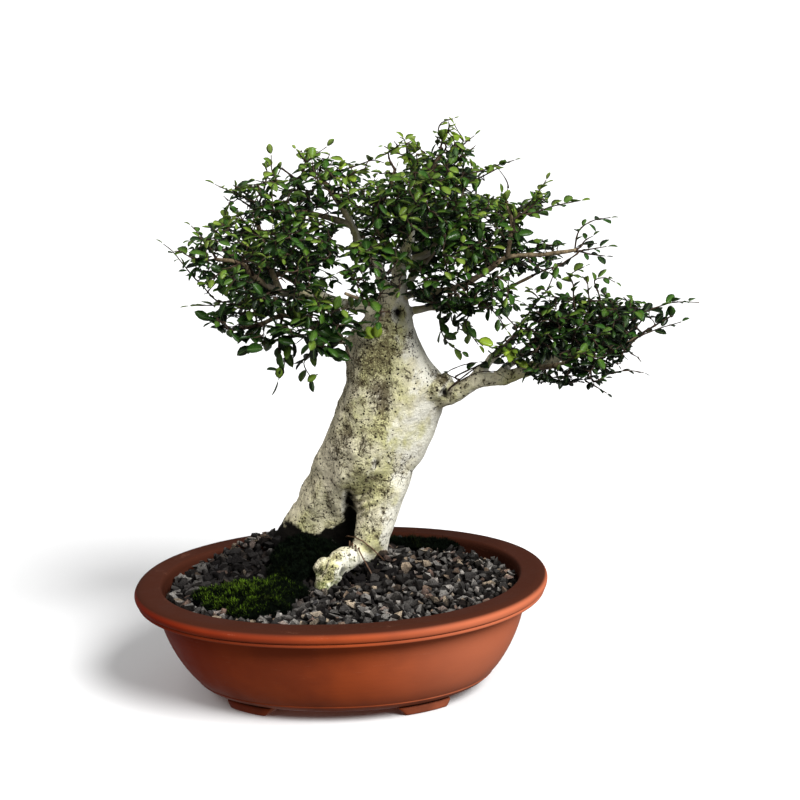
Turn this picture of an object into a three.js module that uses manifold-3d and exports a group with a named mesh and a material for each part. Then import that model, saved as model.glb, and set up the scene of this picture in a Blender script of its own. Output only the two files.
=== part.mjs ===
// Chinese elm bonsai in an oval training pot. Millimetres, +Z up.
import * as THREE from 'three';
import { mergeVertices } from 'three/addons/utils/BufferGeometryUtils.js';
import Module from 'manifold-3d';

const wasm = await Module();
wasm.setup();

// Driving dimensions of the pot: an oval of about 36 by 30 by 10 cm.
const POT_HALF_LENGTH = 180;
const POT_HALF_DEPTH = 148;
const POT_HEIGHT = 101;
const FOOT_HEIGHT = 8.3;
const OVAL_POWER = 2.1;
const OVAL_SIDES = 32;
const WALL = 5.5;
const FLOOR_TOP = 14;
const RIM_INNER_OFFSET = 24;
const BODY_TOP = 83.2;
const BODY_TOP_OFFSET = 19.5;
const BODY_BULGE = 43.8;
const BODY_BULGE_POWER = 1.52;
const FOOT_ANGLES = [38, 60];
const FOOT_DEPTH = 15;
const DRAIN_RADIUS = 8;
const DRAIN_X = 62;
const DRAIN_SIDES = 12;
const MESH_SIDE = 32;
const MESH_THICKNESS = 1.2;
const MESH_HOLE = 8;
const MESH_HOLES_PER_SIDE = 2;

// Driving dimensions of what fills the pot.
const GAP = 0.35;
const SOIL_RIM_LEVEL = 86;
const GRAVEL_RIM_LEVEL = 95;
const SOIL_PITCH = 44;
const MOSS_PITCH = 13;
const MOSS_BED_DEPTH = 1.5;
const MOSS_FLOOR = 60;
const FILL_LIMIT = 140;
const STONE_PITCH = 14.5;
const STONE_RELIEF = 4.2;
const STONE_SCATTER = [12.9898, 78.233, 43758.5453];
const HEAP = { x: -16, y: 62, height: 20, spreadX: 58, spreadY: 44 };
const MOSS = {
  moss_front: { x: -76, y: -52, radiusX: 50, radiusY: 34, height: 5 },
  moss_shade: { x: -34, y: 22, radiusX: 24, radiusY: 19, height: 4 },
  moss_back: { x: 62, y: 96, radiusX: 36, radiusY: 15, height: 4 },
};

// How finely the wood is faceted.
const TRUNK_SIDES = 10;
const STEPS_PER_ROUTE_POINT = 0.7;

// Driving dimensions of the wire bow over the foot of the right leg.
const WIRE_RADIUS = 0.9;
const WIRE_ANGLES = [254, 335];
const WIRE_RISE = 17;
const WIRE_CLEAR = 2.4;
const WIRE_STEPS = 8;
const WIRE_DEPTH = 4;

// Driving dimensions of a leaf and of the twigs that carry it.
const LEAF_LENGTH = [15, 21];
const LEAF_RIM = [[0, 0, 0], [0.38, 0.9, 1], [0.76, 0.8, 1], [1, 0, 0.5], [0.76, -0.8, 1], [0.38, -0.9, 1]];
const LEAF_RIB = 0.55;
const LEAF_WIDTH_SHARE = 0.58;
const LEAF_THICKNESS = 1.1;
const LEAF_FOLD = 0.14;
const LEAF_SPACING = 6.6;
const STEM_RADIUS = [1.3, 0.8];
const STEM_SIDES = 3;
const TWIG_RADIUS = [0.95, 0.6];
const TWIG_LENGTH = [20, 28];
const TWIG_SHARE = 0.45;
const LONG_REACH = 68;
const LEAVES_PER_STEM = 7;
const LEAF_ATTEMPTS = 6;
const TIP_LEAF = 13;

const COLOURS = {
  pot: 0x93452b, mesh: 0x2b2b2b, soil: 0x3a2e25, gravel: 0x6f7175, moss: 0x4c5c16,
  mossShade: 0x2b2f14, bark: 0xa39f86, leaf: 0x35571f, wire: 0x6b4a2c,
};

const group = new THREE.Group();
const UP = new THREE.Vector3(0, 0, 1);

// A seeded draw between 0 and 1, so that the tree is the same each time.
function seededDraw(seed) {
  let state = seed >>> 0;
  return () => {
    state = (state + 0x6d2b79f5) >>> 0;
    let t = Math.imul(state ^ (state >>> 15), state | 1);
    t = (t + Math.imul(t ^ (t >>> 7), t | 61)) ^ t;
    return ((t ^ (t >>> 14)) >>> 0) / 2 ** 32;
  };
}

const point = ([x, y, z]) => new THREE.Vector3(x, y, z);
const mix = (a, b, t) => a + (b - a) * t;
const degrees = THREE.MathUtils.degToRad;

function toSolid(geometry) {
  geometry.deleteAttribute('normal');
  geometry.deleteAttribute('uv');
  const merged = mergeVertices(geometry, 1e-4);
  const vertProperties = new Float32Array(merged.attributes.position.array);
  const triVerts = new Uint32Array(merged.index.array);
  return new wasm.Manifold(new wasm.Mesh({ numProp: 3, vertProperties, triVerts }));
}

function joined(solids) {
  return solids.reduce((sum, solid) => sum.add(solid));
}

// The largest body of a solid: loose scraps are dropped and sealed hollows filled.
function largestBody(solid) {
  const bodies = solid.decompose().filter((body) => body.volume() > 0);
  bodies.sort((a, b) => b.volume() - a.volume());
  return bodies[0];
}

function addPiece(name, solid, colour, roughness) {
  const { vertProperties, triVerts } = solid.getMesh();
  const geometry = new THREE.BufferGeometry();
  geometry.setAttribute('position', new THREE.BufferAttribute(vertProperties, 3));
  geometry.setIndex(new THREE.BufferAttribute(triVerts, 1));
  geometry.computeVertexNormals();
  const material = new THREE.MeshStandardMaterial({ color: colour, roughness, metalness: 0 });
  const mesh = new THREE.Mesh(geometry, material);
  mesh.name = name;
  group.add(mesh);
}

// Moves each point of an upright cylinder, or of a cone where the tip is pointed, along a route. The
// radius is a function of the share of the route's length.
function tube(route, radiusAt, sides, steps, pointed = false) {
  const geometry = new THREE.CylinderGeometry(pointed ? 0 : 1, 1, 1, sides, steps);
  const frames = route.computeFrenetFrames(steps);
  const position = geometry.attributes.position;
  const local = new THREE.Vector3();
  for (let i = 0; i < position.count; i += 1) {
    local.fromBufferAttribute(position, i);
    const step = Math.round((local.y + 0.5) * steps);
    const reach = Math.hypot(local.x, local.z);
    const radius = reach < 1e-6 ? 0 : radiusAt(step / steps) / reach;
    const place = route.getPointAt(step / steps);
    place.addScaledVector(frames.normals[step], local.x * radius);
    place.addScaledVector(frames.binormals[step], -local.z * radius);
    position.setXYZ(i, place.x, place.y, place.z);
  }
  return toSolid(geometry);
}

// A stack of level rings, each [x, y, z, radius in x, radius in y], with shallow flutes like grown wood.
function stack(rings, grow) {
  const steps = rings.length - 1;
  const geometry = new THREE.CylinderGeometry(1, 1, 1, TRUNK_SIDES, steps);
  const position = geometry.attributes.position;
  for (let i = 0; i < position.count; i += 1) {
    const [x, y, z, radiusX, radiusY] = rings[Math.round((position.getY(i) + 0.5) * steps)];
    const across = position.getX(i);
    const along = -position.getZ(i);
    const angle = Math.atan2(along, across);
    const flute = 1 + 0.045 * Math.sin(3 * angle + z / 30) + 0.03 * Math.sin(5 * angle - z / 22);
    position.setXYZ(i, x + across * (radiusX * flute + grow), y + along * (radiusY * flute + grow), z);
  }
  return toSolid(geometry);
}

const signedPower = (value, power) => Math.sign(value) * Math.abs(value) ** power;

// The place on the oval that lies inside the pot's outline by an offset, at an angle round it.
function ovalPlace(offset, angle) {
  const x = signedPower(Math.cos(angle), 2 / OVAL_POWER) * Math.max(0, POT_HALF_LENGTH - offset);
  const y = signedPower(Math.sin(angle), 2 / OVAL_POWER) * Math.max(0, POT_HALF_DEPTH - offset);
  return [x, y];
}

// Turns a closed profile of [offset from the rim's outline, height] round the oval.
function ovalTurned(profile) {
  const outline = profile.map(([offset, z]) => new THREE.Vector2(POT_HALF_LENGTH - offset, z));
  const geometry = new THREE.LatheGeometry(outline, OVAL_SIDES);
  const position = geometry.attributes.position;
  for (let i = 0; i < position.count; i += 1) {
    const z = position.getY(i);
    const radius = Math.hypot(position.getX(i), position.getZ(i));
    const angle = Math.atan2(-position.getZ(i), position.getX(i));
    const [x, y] = radius < 1e-6 ? [0, 0] : ovalPlace(POT_HALF_LENGTH - radius, angle);
    position.setXYZ(i, x, y, z);
  }
  return toSolid(geometry);
}

// The outer wall's offset from the rim's outline at a height.
function bodyOffset(z) {
  const share = Math.min(1, Math.max(0, (BODY_TOP - z) / (BODY_TOP - FOOT_HEIGHT)));
  return BODY_TOP_OFFSET + BODY_BULGE * (1 - (1 - share ** BODY_BULGE_POWER) ** (1 / BODY_BULGE_POWER));
}

const innerOffset = (z) => bodyOffset(z) + WALL;

function foot(signX, signY) {
  const steps = 4;
  const geometry = new THREE.BoxGeometry(1, 1, 1, steps, 1, 1);
  const position = geometry.attributes.position;
  for (let i = 0; i < position.count; i += 1) {
    const up = position.getZ(i) + 0.5;
    const along = position.getX(i) + 0.5;
    const outward = position.getY(i) + 0.5;
    const slant = 5 * up * along - 2 * up * (1 - along);
    const angle = degrees(mix(FOOT_ANGLES[0], FOOT_ANGLES[1], along) + slant);
    const outerOffset = bodyOffset(FOOT_HEIGHT) - 1.5 - 2.5 * up;
    const [x, y] = ovalPlace(outerOffset + FOOT_DEPTH * (1 - outward), angle);
    position.setXYZ(i, signX * x, signY * y, up * (FOOT_HEIGHT + 2));
  }
  if (signX * signY > 0) {
    geometry.index.array.reverse();
  }
  return toSolid(geometry);
}

function upright(radius, fromZ, toZ, x, y) {
  const geometry = new THREE.CylinderGeometry(radius, radius, toZ - fromZ, DRAIN_SIDES);
  geometry.rotateX(Math.PI / 2);
  geometry.translate(x, y, (fromZ + toZ) / 2);
  return toSolid(geometry);
}

function makePot() {
  const wallHeights = [66, 46, 29, 17];
  const profile = [
    [POT_HALF_LENGTH, FLOOR_TOP],
    [innerOffset(FLOOR_TOP) + 4, FLOOR_TOP],
    ...[24, 50].map((z) => [innerOffset(z), z]),
    [innerOffset(BODY_TOP) - 0.5, BODY_TOP + 3],
    [RIM_INNER_OFFSET, POT_HEIGHT],
    [6.5, POT_HEIGHT],
    [2, POT_HEIGHT - 1.8],
    [0, POT_HEIGHT - 7],
    [0.7, POT_HEIGHT - 11],
    [3, POT_HEIGHT - 14],
    [11.5, POT_HEIGHT - 14.6],
    [12.6, BODY_TOP + 1],
    [BODY_TOP_OFFSET, BODY_TOP],
    ...wallHeights.map((z) => [bodyOffset(z), z]),
    [bodyOffset(FOOT_HEIGHT) - 3.5, FOOT_HEIGHT + 1.5],
    [bodyOffset(FOOT_HEIGHT), FOOT_HEIGHT],
    [POT_HALF_LENGTH, FOOT_HEIGHT],
  ];
  const feet = [[1, 1], [1, -1], [-1, 1], [-1, -1]].map(([signX, signY]) => foot(signX, signY));
  const drains = [-DRAIN_X, DRAIN_X].map((x) => upright(DRAIN_RADIUS, 0, FLOOR_TOP + 5, x, 0));
  const body = joined([ovalTurned(profile.reverse()), ...feet]);
  addPiece('pot', body.subtract(joined(drains)), COLOURS.pot, 0.42);
}

function makeDrainMesh(name, centreX) {
  const pitch = MESH_SIDE / (MESH_HOLES_PER_SIDE + 1);
  const plate = new THREE.BoxGeometry(MESH_SIDE, MESH_SIDE, MESH_THICKNESS);
  const level = FLOOR_TOP + GAP + MESH_THICKNESS / 2;
  plate.translate(centreX, 0, level);
  const holes = [];
  for (let row = 1; row <= MESH_HOLES_PER_SIDE; row += 1) {
    for (let column = 1; column <= MESH_HOLES_PER_SIDE; column += 1) {
      const hole = new THREE.BoxGeometry(MESH_HOLE, MESH_HOLE, 4 * MESH_THICKNESS);
      hole.translate(centreX - MESH_SIDE / 2 + row * pitch, -MESH_SIDE / 2 + column * pitch, level);
      holes.push(toSolid(hole));
    }
  }
  addPiece(name, toSolid(plate).subtract(joined(holes)), COLOURS.mesh, 0.6);
}

// How far the ground rises above its level at the rim: a low heap behind the trunk's feet.
function heapRise(x, y) {
  const reachX = (x - HEAP.x) / HEAP.spreadX;
  const reachY = (y - HEAP.y) / HEAP.spreadY;
  return HEAP.height * Math.exp(-(reachX ** 2) - reachY ** 2);
}

// The tree's lower wood, as level rings from inside the soil up to where the legs meet the trunk.
const LEFT_LEG = [
  [-33, 64, 66, 25, 21], [-29, 62, 95, 27, 23], [-26, 60, 118, 25, 21], [-22, 56, 137, 26, 22],
  [-16, 52, 154, 24.5, 23], [-6, 48, 172, 26, 25], [8, 44, 196, 24, 24],
];
const RIGHT_LEG = [
  [13, 26, 66, 22, 20], [15, 28, 95, 19, 17.5], [17, 30, 111, 16.8, 15.5], [22, 33, 123, 18.6, 17],
  [26, 34, 137, 19.7, 18.5], [30, 35, 153, 20.8, 20], [34, 36, 169, 22.5, 22], [38, 37, 194, 25, 25],
];
const TRUNK = [
  [-3, 62, 96, 22, 12], [-1, 58, 120, 22, 14], [2, 53, 142, 28, 20], [8, 47, 164, 35, 27],
  [21, 43, 187, 44.5, 35], [32, 39, 208, 47, 38], [41, 36, 228, 47, 38], [47, 32, 248, 45.5, 36],
  [52, 29, 267, 42.5, 34], [49.5, 25, 286, 36.5, 31], [47.5, 22, 300, 33.5, 28], [48.5, 18, 314, 28, 24],
  [52, 16, 327, 21, 19], [56, 14, 341, 14, 13.5], [60, 12, 356, 10.5, 10],
];

// The buried root plate that both legs and the surface root grow from.
const ROOT_PLATE = [[-6, 40, 46, 40, 34], [-6, 40, 62, 62, 48], [-6, 42, 78, 44, 36]];

// Every branch: its route from the wood that it grows from, its radius there and at its end, its sides.
const BRANCHES = {
  leader: { radius: [9.5, 1.6], sides: 7, route: [
    [56, 14, 330], [60, 11, 352], [66, 9, 373], [73, 7, 390], [76, 5, 410], [82, 4, 430], [93, 2, 447],
    [104, 0, 465]] },
  crown_left: { radius: [3, 1.3], sides: 4, route: [
    [66, 9, 373], [54, -2, 396], [47, -8, 417], [59, -10, 436], [67, -11, 456]] },
  crown_back: { radius: [3.5, 1.8], sides: 4, route: [
    [76, 5, 410], [80, 22, 424], [78, 34, 440], [74, 24, 464]] },
  back_left: { radius: [6, 2.2], sides: 6, route: [
    [52, 16, 335], [48, 20, 352], [44, 24, 370], [30, 32, 384], [22, 38, 402], [10, 44, 422],
    [-5, 48, 444]] },
  back_left_low: { radius: [3.5, 1.4], sides: 4, route: [
    [22, 38, 402], [0, 56, 406], [-28, 70, 410], [-50, 80, 408]] },
  left_main: { radius: [8, 1.7], sides: 7, route: [
    [46, 16, 320], [38, 12, 332], [20, 6, 340], [4, -2, 347], [-12, -9, 354], [-34, -17, 357],
    [-55, -25, 373], [-63, -28, 384], [-84, -31, 389]] },
  left_low: { radius: [4.5, 1.5], sides: 4, route: [
    [24, 14, 306], [2, 2, 312], [-12, -7, 325], [-34, -14, 336], [-52, -22, 331], [-76, -30, 328]] },
  left_up: { radius: [3, 1.4], sides: 4, route: [
    [-34, -17, 357], [-45, -6, 381], [-51, 4, 400], [-56, 12, 422]] },
  left_back: { radius: [3.6, 1.5], sides: 4, route: [
    [4, -2, 347], [-18, 18, 352], [-40, 38, 360], [-60, 52, 362]] },
  right_mid: { radius: [5.8, 1.5], sides: 6, route: [
    [56, 12, 338], [74, 8, 347], [90, 2, 350], [107, -5, 353], [122, -10, 359], [139, -14, 369],
    [157, -18, 381], [187, -20, 383], [214, -16, 385]] },
  right_up: { radius: [2.4, 1.3], sides: 4, route: [
    [157, -18, 381], [160, -18, 396], [162, -17, 412], [158, -14, 426]] },
  right_back: { radius: [5, 1.5], sides: 6, route: [
    [58, 18, 328], [88, 22, 332], [102, 32, 330], [122, 44, 330], [148, 58, 338], [172, 66, 348]] },
  right_inner: { radius: [3.8, 1.4], sides: 4, route: [
    [66, 9, 373], [88, 20, 380], [104, 36, 396], [124, 50, 404], [140, 58, 410]] },
  low_right: { radius: [14, 1.7], sides: 8, route: [
    [72, 34, 246], [92, 28, 254], [101, 20, 261], [112, 14, 267], [127, 8, 272], [143, 3, 275],
    [158, 0, 277], [176, -4, 284], [206, -8, 296], [232, -8, 299], [252, -8, 302], [264, -7, 310]] },
  low_fork: { radius: [4.5, 1.6], sides: 4, route: [
    [112, 14, 267], [122, 13, 280], [136, 15, 294], [150, 18, 307], [166, 22, 321]] },
  low_back: { radius: [4.5, 1.5], sides: 4, route: [
    [143, 3, 275], [160, 26, 286], [178, 50, 298], [196, 70, 306]] },
  low_front: { radius: [3, 1.4], sides: 4, route: [
    [176, -4, 284], [190, -24, 289], [204, -44, 297]] },
  back: { radius: [5, 1.5], sides: 6, route: [
    [48, 28, 322], [44, 52, 346], [34, 78, 366], [22, 98, 384]] },
  back_right: { radius: [4, 1.5], sides: 4, route: [
    [60, 18, 344], [78, 48, 362], [92, 76, 376], [108, 96, 388]] },
  front: { radius: [3.6, 1.4], sides: 4, route: [
    [50, 8, 326], [46, -16, 342], [38, -38, 352], [26, -56, 362]] },
  surface_root: { radius: [13, 4], sides: 8, bulge: 0.28, route: [
    [15, 30, 106], [2, 20, 113], [-7, 10, 112], [-12, -2, 106], [-13, -12, 99], [-11, -19, 90],
    [-6, -24, 78]] },
};

function makeBranch({ radius, sides, bulge = 0, route }, grow) {
  const curve = new THREE.CatmullRomCurve3(route.map(point));
  const steps = Math.max(2, Math.round(route.length * STEPS_PER_ROUTE_POINT));
  const radiusAt = (t) => mix(radius[0], radius[1], t ** 0.8) * (1 + bulge * Math.sin(Math.PI * t)) + grow;
  return tube(curve, radiusAt, sides, steps);
}

// The whole tree's wood, its surface moved out by a little where it has to clear a neighbour.
function makeWood(grow) {
  const lower = [ROOT_PLATE, LEFT_LEG, RIGHT_LEG, TRUNK].map((rings) => stack(rings, grow));
  const branches = Object.values(BRANCHES).map((branch) => makeBranch(branch, grow));
  return joined([...lower, ...branches]);
}

// A thin leaf: an oval rim of six points, its faces sunk along the midrib so that it is keeled below.
function leafSolid(base, direction, normal, length) {
  const side = new THREE.Vector3().crossVectors(normal, direction).normalize();
  const up = new THREE.Vector3().crossVectors(direction, side).normalize();
  const half = (length * LEAF_WIDTH_SHARE) / 2;
  const corner = ([along, across, level]) => base.clone()
    .addScaledVector(direction, along * length)
    .addScaledVector(side, across * half)
    .addScaledVector(up, level);
  const rise = LEAF_FOLD * length;
  const rim = LEAF_RIM.map(([along, across, level]) => [along, across, level * rise]);
  const places = [...rim, [LEAF_RIB, 0, 0.5 * rise], [LEAF_RIB, 0, 0.5 * rise - LEAF_THICKNESS]];
  const index = [];
  for (let i = 0; i < 6; i += 1) {
    const next = (i + 1) % 6;
    index.push(next, i, 6, i, next, 7);
  }
  const geometry = new THREE.BufferGeometry();
  const positions = places.flatMap((place) => corner(place).toArray());
  geometry.setAttribute('position', new THREE.BufferAttribute(new Float32Array(positions), 3));
  geometry.setIndex(index);
  return toSolid(geometry);
}

// Every spray: the branch and the point of its route that it grows from, its tip, and how far its middle
// bows out of the straight line.
const SPRAYS = [
  ['left_main', 8, [-127, -36, 404], [-4, 0, -8]],
  ['left_main', 8, [-106, -20, 416], [0, 4, 4]],
  ['left_up', 2, [-75, -6, 432], [-4, 0, 0]],
  ['left_up', 3, [-91, 24, 443], [0, 4, 0]],
  ['left_up', 3, [-42, 26, 466], [4, 2, 0]],
  ['back_left', 6, [7, 14, 473], [0, -8, 6]],
  ['back_left', 6, [-24, 44, 474], [-6, 2, 0]],
  ['back_left', 5, [46, 4, 462], [-10, -12, 10]],
  ['left_main', 7, [-98, -60, 370], [-4, -4, 2]],
  ['left_low', 5, [-94, -50, 338], [0, -4, 4]],
  ['left_low', 4, [-67, -44, 314], [-2, -6, 4]],
  ['left_low', 3, [-37, -36, 287], [-2, -10, 4]],
  ['left_main', 5, [-42, -84, 364], [-4, 2, 4]],
  ['left_main', 3, [-9, -76, 345], [4, 4, 6]],
  ['left_main', 6, [-60, -66, 404], [4, -6, 2]],
  ['left_back', 3, [-98, 32, 375], [-4, 6, 4]],
  ['left_back', 2, [-63, 84, 360], [4, 4, 2]],
  ['back_left_low', 2, [-40, 92, 444], [4, 4, 4]],
  ['back_left_low', 3, [-92, 70, 408], [-4, 2, 4]],
  ['crown_left', 4, [59, -14, 484], [-4, 0, 2]],
  ['crown_back', 3, [70, 26, 492], [0, 2, 2]],
  ['leader', 7, [116, -2, 497], [-4, 0, 2]],
  ['leader', 6, [138, 14, 472], [4, 4, 2]],
  ['leader', 5, [160, -10, 456], [4, -4, -4]],
  ['right_inner', 3, [130, 58, 436], [4, 4, 2]],
  ['right_up', 3, [152, -16, 450], [2, -2, 0]],
  ['crown_left', 2, [20, -24, 440], [-2, -4, 2]],
  ['front', 2, [24, -62, 392], [4, -4, 2]],
  ['front', 1, [54, -66, 336], [6, -2, 4]],
  ['crown_left', 1, [92, -50, 436], [6, -6, -2]],
  ['right_mid', 3, [108, -66, 400], [2, -4, 0]],
  ['right_mid', 4, [134, -64, 372], [0, -4, 4]],
  ['back', 3, [46, 128, 404], [2, 2, 2]],
  ['back_right', 3, [98, 108, 422], [2, 4, 2]],
  ['right_inner', 4, [178, 62, 404], [0, 4, 2]],
  ['right_back', 2, [104, 26, 292], [4, -4, 0]],
  ['right_up', 2, [198, -10, 440], [2, 2, -4]],
  ['right_mid', 8, [241, -10, 412], [2, 2, -2]],
  ['right_back', 5, [214, 62, 362], [0, 4, 2]],
  ['low_right', 9, [220, 2, 366], [-4, 2, 0]],
  ['low_right', 11, [313, -4, 337], [2, 0, 2]],
  ['low_right', 10, [268, -24, 282], [2, -6, -2]],
  ['low_right', 7, [190, -40, 264], [-6, -8, -2]],
  ['low_right', 7, [184, 2, 338], [-4, 2, 4]],
  ['low_right', 8, [216, -44, 334], [0, -4, 4]],
  ['low_front', 2, [228, -74, 314], [0, -2, 4]],
  ['low_right', 9, [246, 34, 344], [2, 2, 2]],
  ['low_fork', 2, [152, -30, 312], [0, -2, 4]],
  ['low_fork', 4, [194, 38, 352], [-4, 4, 2]],
  ['low_back', 3, [246, 78, 308], [0, 6, 4]],
];

// The sprays keep clear of each other: these hold what has been placed, as balls, and the stems that
// share their root with others.
const placedBalls = [];
const rootedStems = [];

function isClear(balls, owner) {
  return balls.every(({ centre, radius }) => placedBalls.every((placed) => (
    placed.owner === owner || placed.centre.distanceTo(centre) > placed.radius + radius)));
}

function ballsAlong(curve, radius, count, from = 0) {
  return Array.from({ length: count }, (_, i) => ({
    centre: curve.getPoint(mix(from, 1, i / (count - 1))), radius,
  }));
}

function leafBalls(base, direction, length) {
  return [0.35, 0.75].map((share) => ({
    centre: base.clone().addScaledVector(direction, share * length), radius: length * 0.24,
  }));
}

function remember(balls, owner) {
  balls.forEach((ball) => placedBalls.push({ ...ball, owner }));
}

function bowed(start, end, bow) {
  const middle = start.clone().add(end).multiplyScalar(0.5).add(bow);
  return new THREE.QuadraticBezierCurve3(start, middle, end);
}

// The way a leaf leans out of its shoot: to one side of it, turned a little round it by the draw.
function leafDirection(along, sideSign, lean, roll) {
  const level = new THREE.Vector3().crossVectors(UP, along);
  const side = level.lengthSq() > 0.05 ? level.normalize() : new THREE.Vector3(1, 0, 0);
  const outward = side.applyAxisAngle(along, roll).multiplyScalar(sideSign);
  return along.clone().multiplyScalar(Math.cos(lean)).addScaledVector(outward, Math.sin(lean)).normalize();
}

// Leaves in two rows along a shoot, one to a side in turn, and one at its tip.
function leavesOn(curve, count, firstShare, draw, name) {
  const leaves = [];
  for (let i = 0; i < count; i += 1) {
    const last = i === count - 1;
    const share = last ? 1 : mix(firstShare, 0.92, i / (count - 1));
    const along = curve.getTangent(share);
    const base = curve.getPoint(last ? 0.93 : share);
    for (let attempt = 0; attempt < LEAF_ATTEMPTS; attempt += 1) {
      const lean = degrees(last ? 8 : mix(42, 66, draw()));
      const roll = degrees(mix(-40, 40, draw()) + attempt * 25);
      const direction = leafDirection(along, i % 2 ? 1 : -1, lean, roll);
      const blade = UP.clone().add(new THREE.Vector3(draw() - 0.5, draw() - 0.5, 0));
      const length = mix(LEAF_LENGTH[0], LEAF_LENGTH[1], draw());
      const balls = leafBalls(base, direction, length);
      const apart = leaves.every((leaf) => leaf.balls.every((ball) => (
        balls.every((other) => other.centre.distanceTo(ball.centre) > LEAF_SPACING))));
      if (apart && isClear(balls, name)) {
        leaves.push({ solid: leafSolid(base, direction, blade, length), balls });
        remember(balls, name);
        break;
      }
    }
  }
  return leaves.map((leaf) => leaf.solid);
}

// A side twig with two leaves of its own, turned round its stem until it is clear of what is placed.
function sideTwig(stem, draw, name) {
  const base = stem.getPoint(TWIG_SHARE);
  const along = stem.getTangent(TWIG_SHARE);
  for (let attempt = 0; attempt < LEAF_ATTEMPTS; attempt += 1) {
    const roll = degrees(mix(-50, 50, draw()) + attempt * 20);
    const direction = leafDirection(along, -1, degrees(48), roll);
    const end = base.clone().addScaledVector(direction, mix(TWIG_LENGTH[0], TWIG_LENGTH[1], draw()));
    const twig = bowed(base, end, new THREE.Vector3(0, 0, 2));
    if (isClear(ballsAlong(twig, 3, 4, 0.3), name)) {
      remember(ballsAlong(twig, 1, 6), name);
      const wood = tube(twig, (t) => mix(TWIG_RADIUS[0], TWIG_RADIUS[1], t), STEM_SIDES, 2, true);
      return [wood, ...leavesOn(twig, 2, 0.5, draw, name)];
    }
  }
  return [];
}

function makeSpray(number, [branch, index, tip, bow], grownWood) {
  const name = `spray_${String(number + 1).padStart(2, '0')}_${branch}`;
  const draw = seededDraw(1000 + number * 17);
  const start = point(BRANCHES[branch].route[index]);
  const reach = start.distanceTo(point(tip));
  const end = start.clone().lerp(point(tip), 1 - TIP_LEAF / reach);
  const stem = bowed(start, end, point(bow));
  const radiusAt = (t) => mix(STEM_RADIUS[0], STEM_RADIUS[1], t);
  const solids = [tube(stem, radiusAt, STEM_SIDES, 3, true)];
  if (reach > LONG_REACH) {
    solids.push(...sideTwig(stem, draw, name));
  }
  solids.push(...leavesOn(stem, LEAVES_PER_STEM, 0.2, draw, name));
  const root = `${branch} ${index}`;
  const siblings = rootedStems.filter((other) => other.root === root).map((other) => other.solid);
  const spray = joined(solids).subtract(joined([grownWood, ...siblings]));
  addPiece(name, largestBody(spray), COLOURS.leaf, 0.45);
  const clearAt = (t) => radiusAt(t) + GAP / Math.cos(Math.PI / STEM_SIDES);
  rootedStems.push({ root, solid: tube(stem, clearAt, STEM_SIDES, 3) });
}

// A block whose upper face is a grid raised by a formula.
function reliefBlock(centreX, centreY, width, depth, pitch, floorZ, heightAt) {
  const columns = Math.round(width / pitch);
  const rows = Math.round(depth / pitch);
  const geometry = new THREE.BoxGeometry(width, depth, 1, columns, rows, 1);
  geometry.translate(centreX, centreY, 0);
  const position = geometry.attributes.position;
  for (let i = 0; i < position.count; i += 1) {
    const x = position.getX(i);
    const y = position.getY(i);
    const z = position.getZ(i) > 0 ? heightAt(x, y) : floorZ;
    position.setXYZ(i, x, y, z);
  }
  return toSolid(geometry);
}

// Stone tops and the gaps between them: a scatter of heights that is the same each time.
function stoneRelief(x, y) {
  const [stretchX, stretchY, stretchAll] = STONE_SCATTER;
  const scatter = Math.sin(x * stretchX + y * stretchY) * stretchAll;
  return STONE_RELIEF * (2 * (scatter - Math.floor(scatter)) - 1);
}

// How deep a place lies in a moss patch: 1 in its middle, 0 at its ragged edge and beyond.
function mossShare(patch, x, y) {
  const angle = Math.atan2(y - patch.y, x - patch.x);
  const ragged = 1 + 0.12 * Math.sin(3 * angle + patch.x) + 0.08 * Math.sin(7 * angle);
  const reach = Math.hypot((x - patch.x) / patch.radiusX, (y - patch.y) / patch.radiusY) / ragged;
  return Math.max(0, 1 - reach);
}

const soilHeight = (x, y) => SOIL_RIM_LEVEL + heapRise(x, y);

function gravelHeight(x, y) {
  const underMoss = Object.values(MOSS).some((patch) => mossShare(patch, x, y) > 0);
  return GRAVEL_RIM_LEVEL + heapRise(x, y) + (underMoss ? -MOSS_BED_DEPTH : stoneRelief(x, y));
}

function mossHeight(patch, x, y) {
  const share = mossShare(patch, x, y);
  const tuft = 1 + 0.35 * Math.sin(x * 0.9) * Math.sin(y * 1.1);
  const cover = share > 0 ? (2.5 + patch.height * Math.sqrt(share)) * tuft : -4;
  return GRAVEL_RIM_LEVEL + heapRise(x, y) - 2 * MOSS_BED_DEPTH + cover;
}

// What the pot leaves free inside, a little clear of its wall and of the meshes on its floor.
function potInside() {
  const floor = FLOOR_TOP + MESH_THICKNESS + 2 * GAP;
  const clear = GAP + 0.1;
  const walls = [24, 50, BODY_TOP].map((z) => [innerOffset(z) + clear, z]);
  return ovalTurned([
    [POT_HALF_LENGTH, floor],
    [innerOffset(FLOOR_TOP) + 6, floor],
    ...walls,
    [innerOffset(BODY_TOP) + clear, FILL_LIMIT],
    [POT_HALF_LENGTH, FILL_LIMIT],
  ]);
}

// The whole inside of the pot up to a surface given by a formula.
function filledTo(pitch, heightAt) {
  const width = 2 * (POT_HALF_LENGTH - RIM_INNER_OFFSET);
  const depth = 2 * (POT_HALF_DEPTH - RIM_INNER_OFFSET);
  return reliefBlock(0, 0, width, depth, pitch, 0, heightAt);
}

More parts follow.
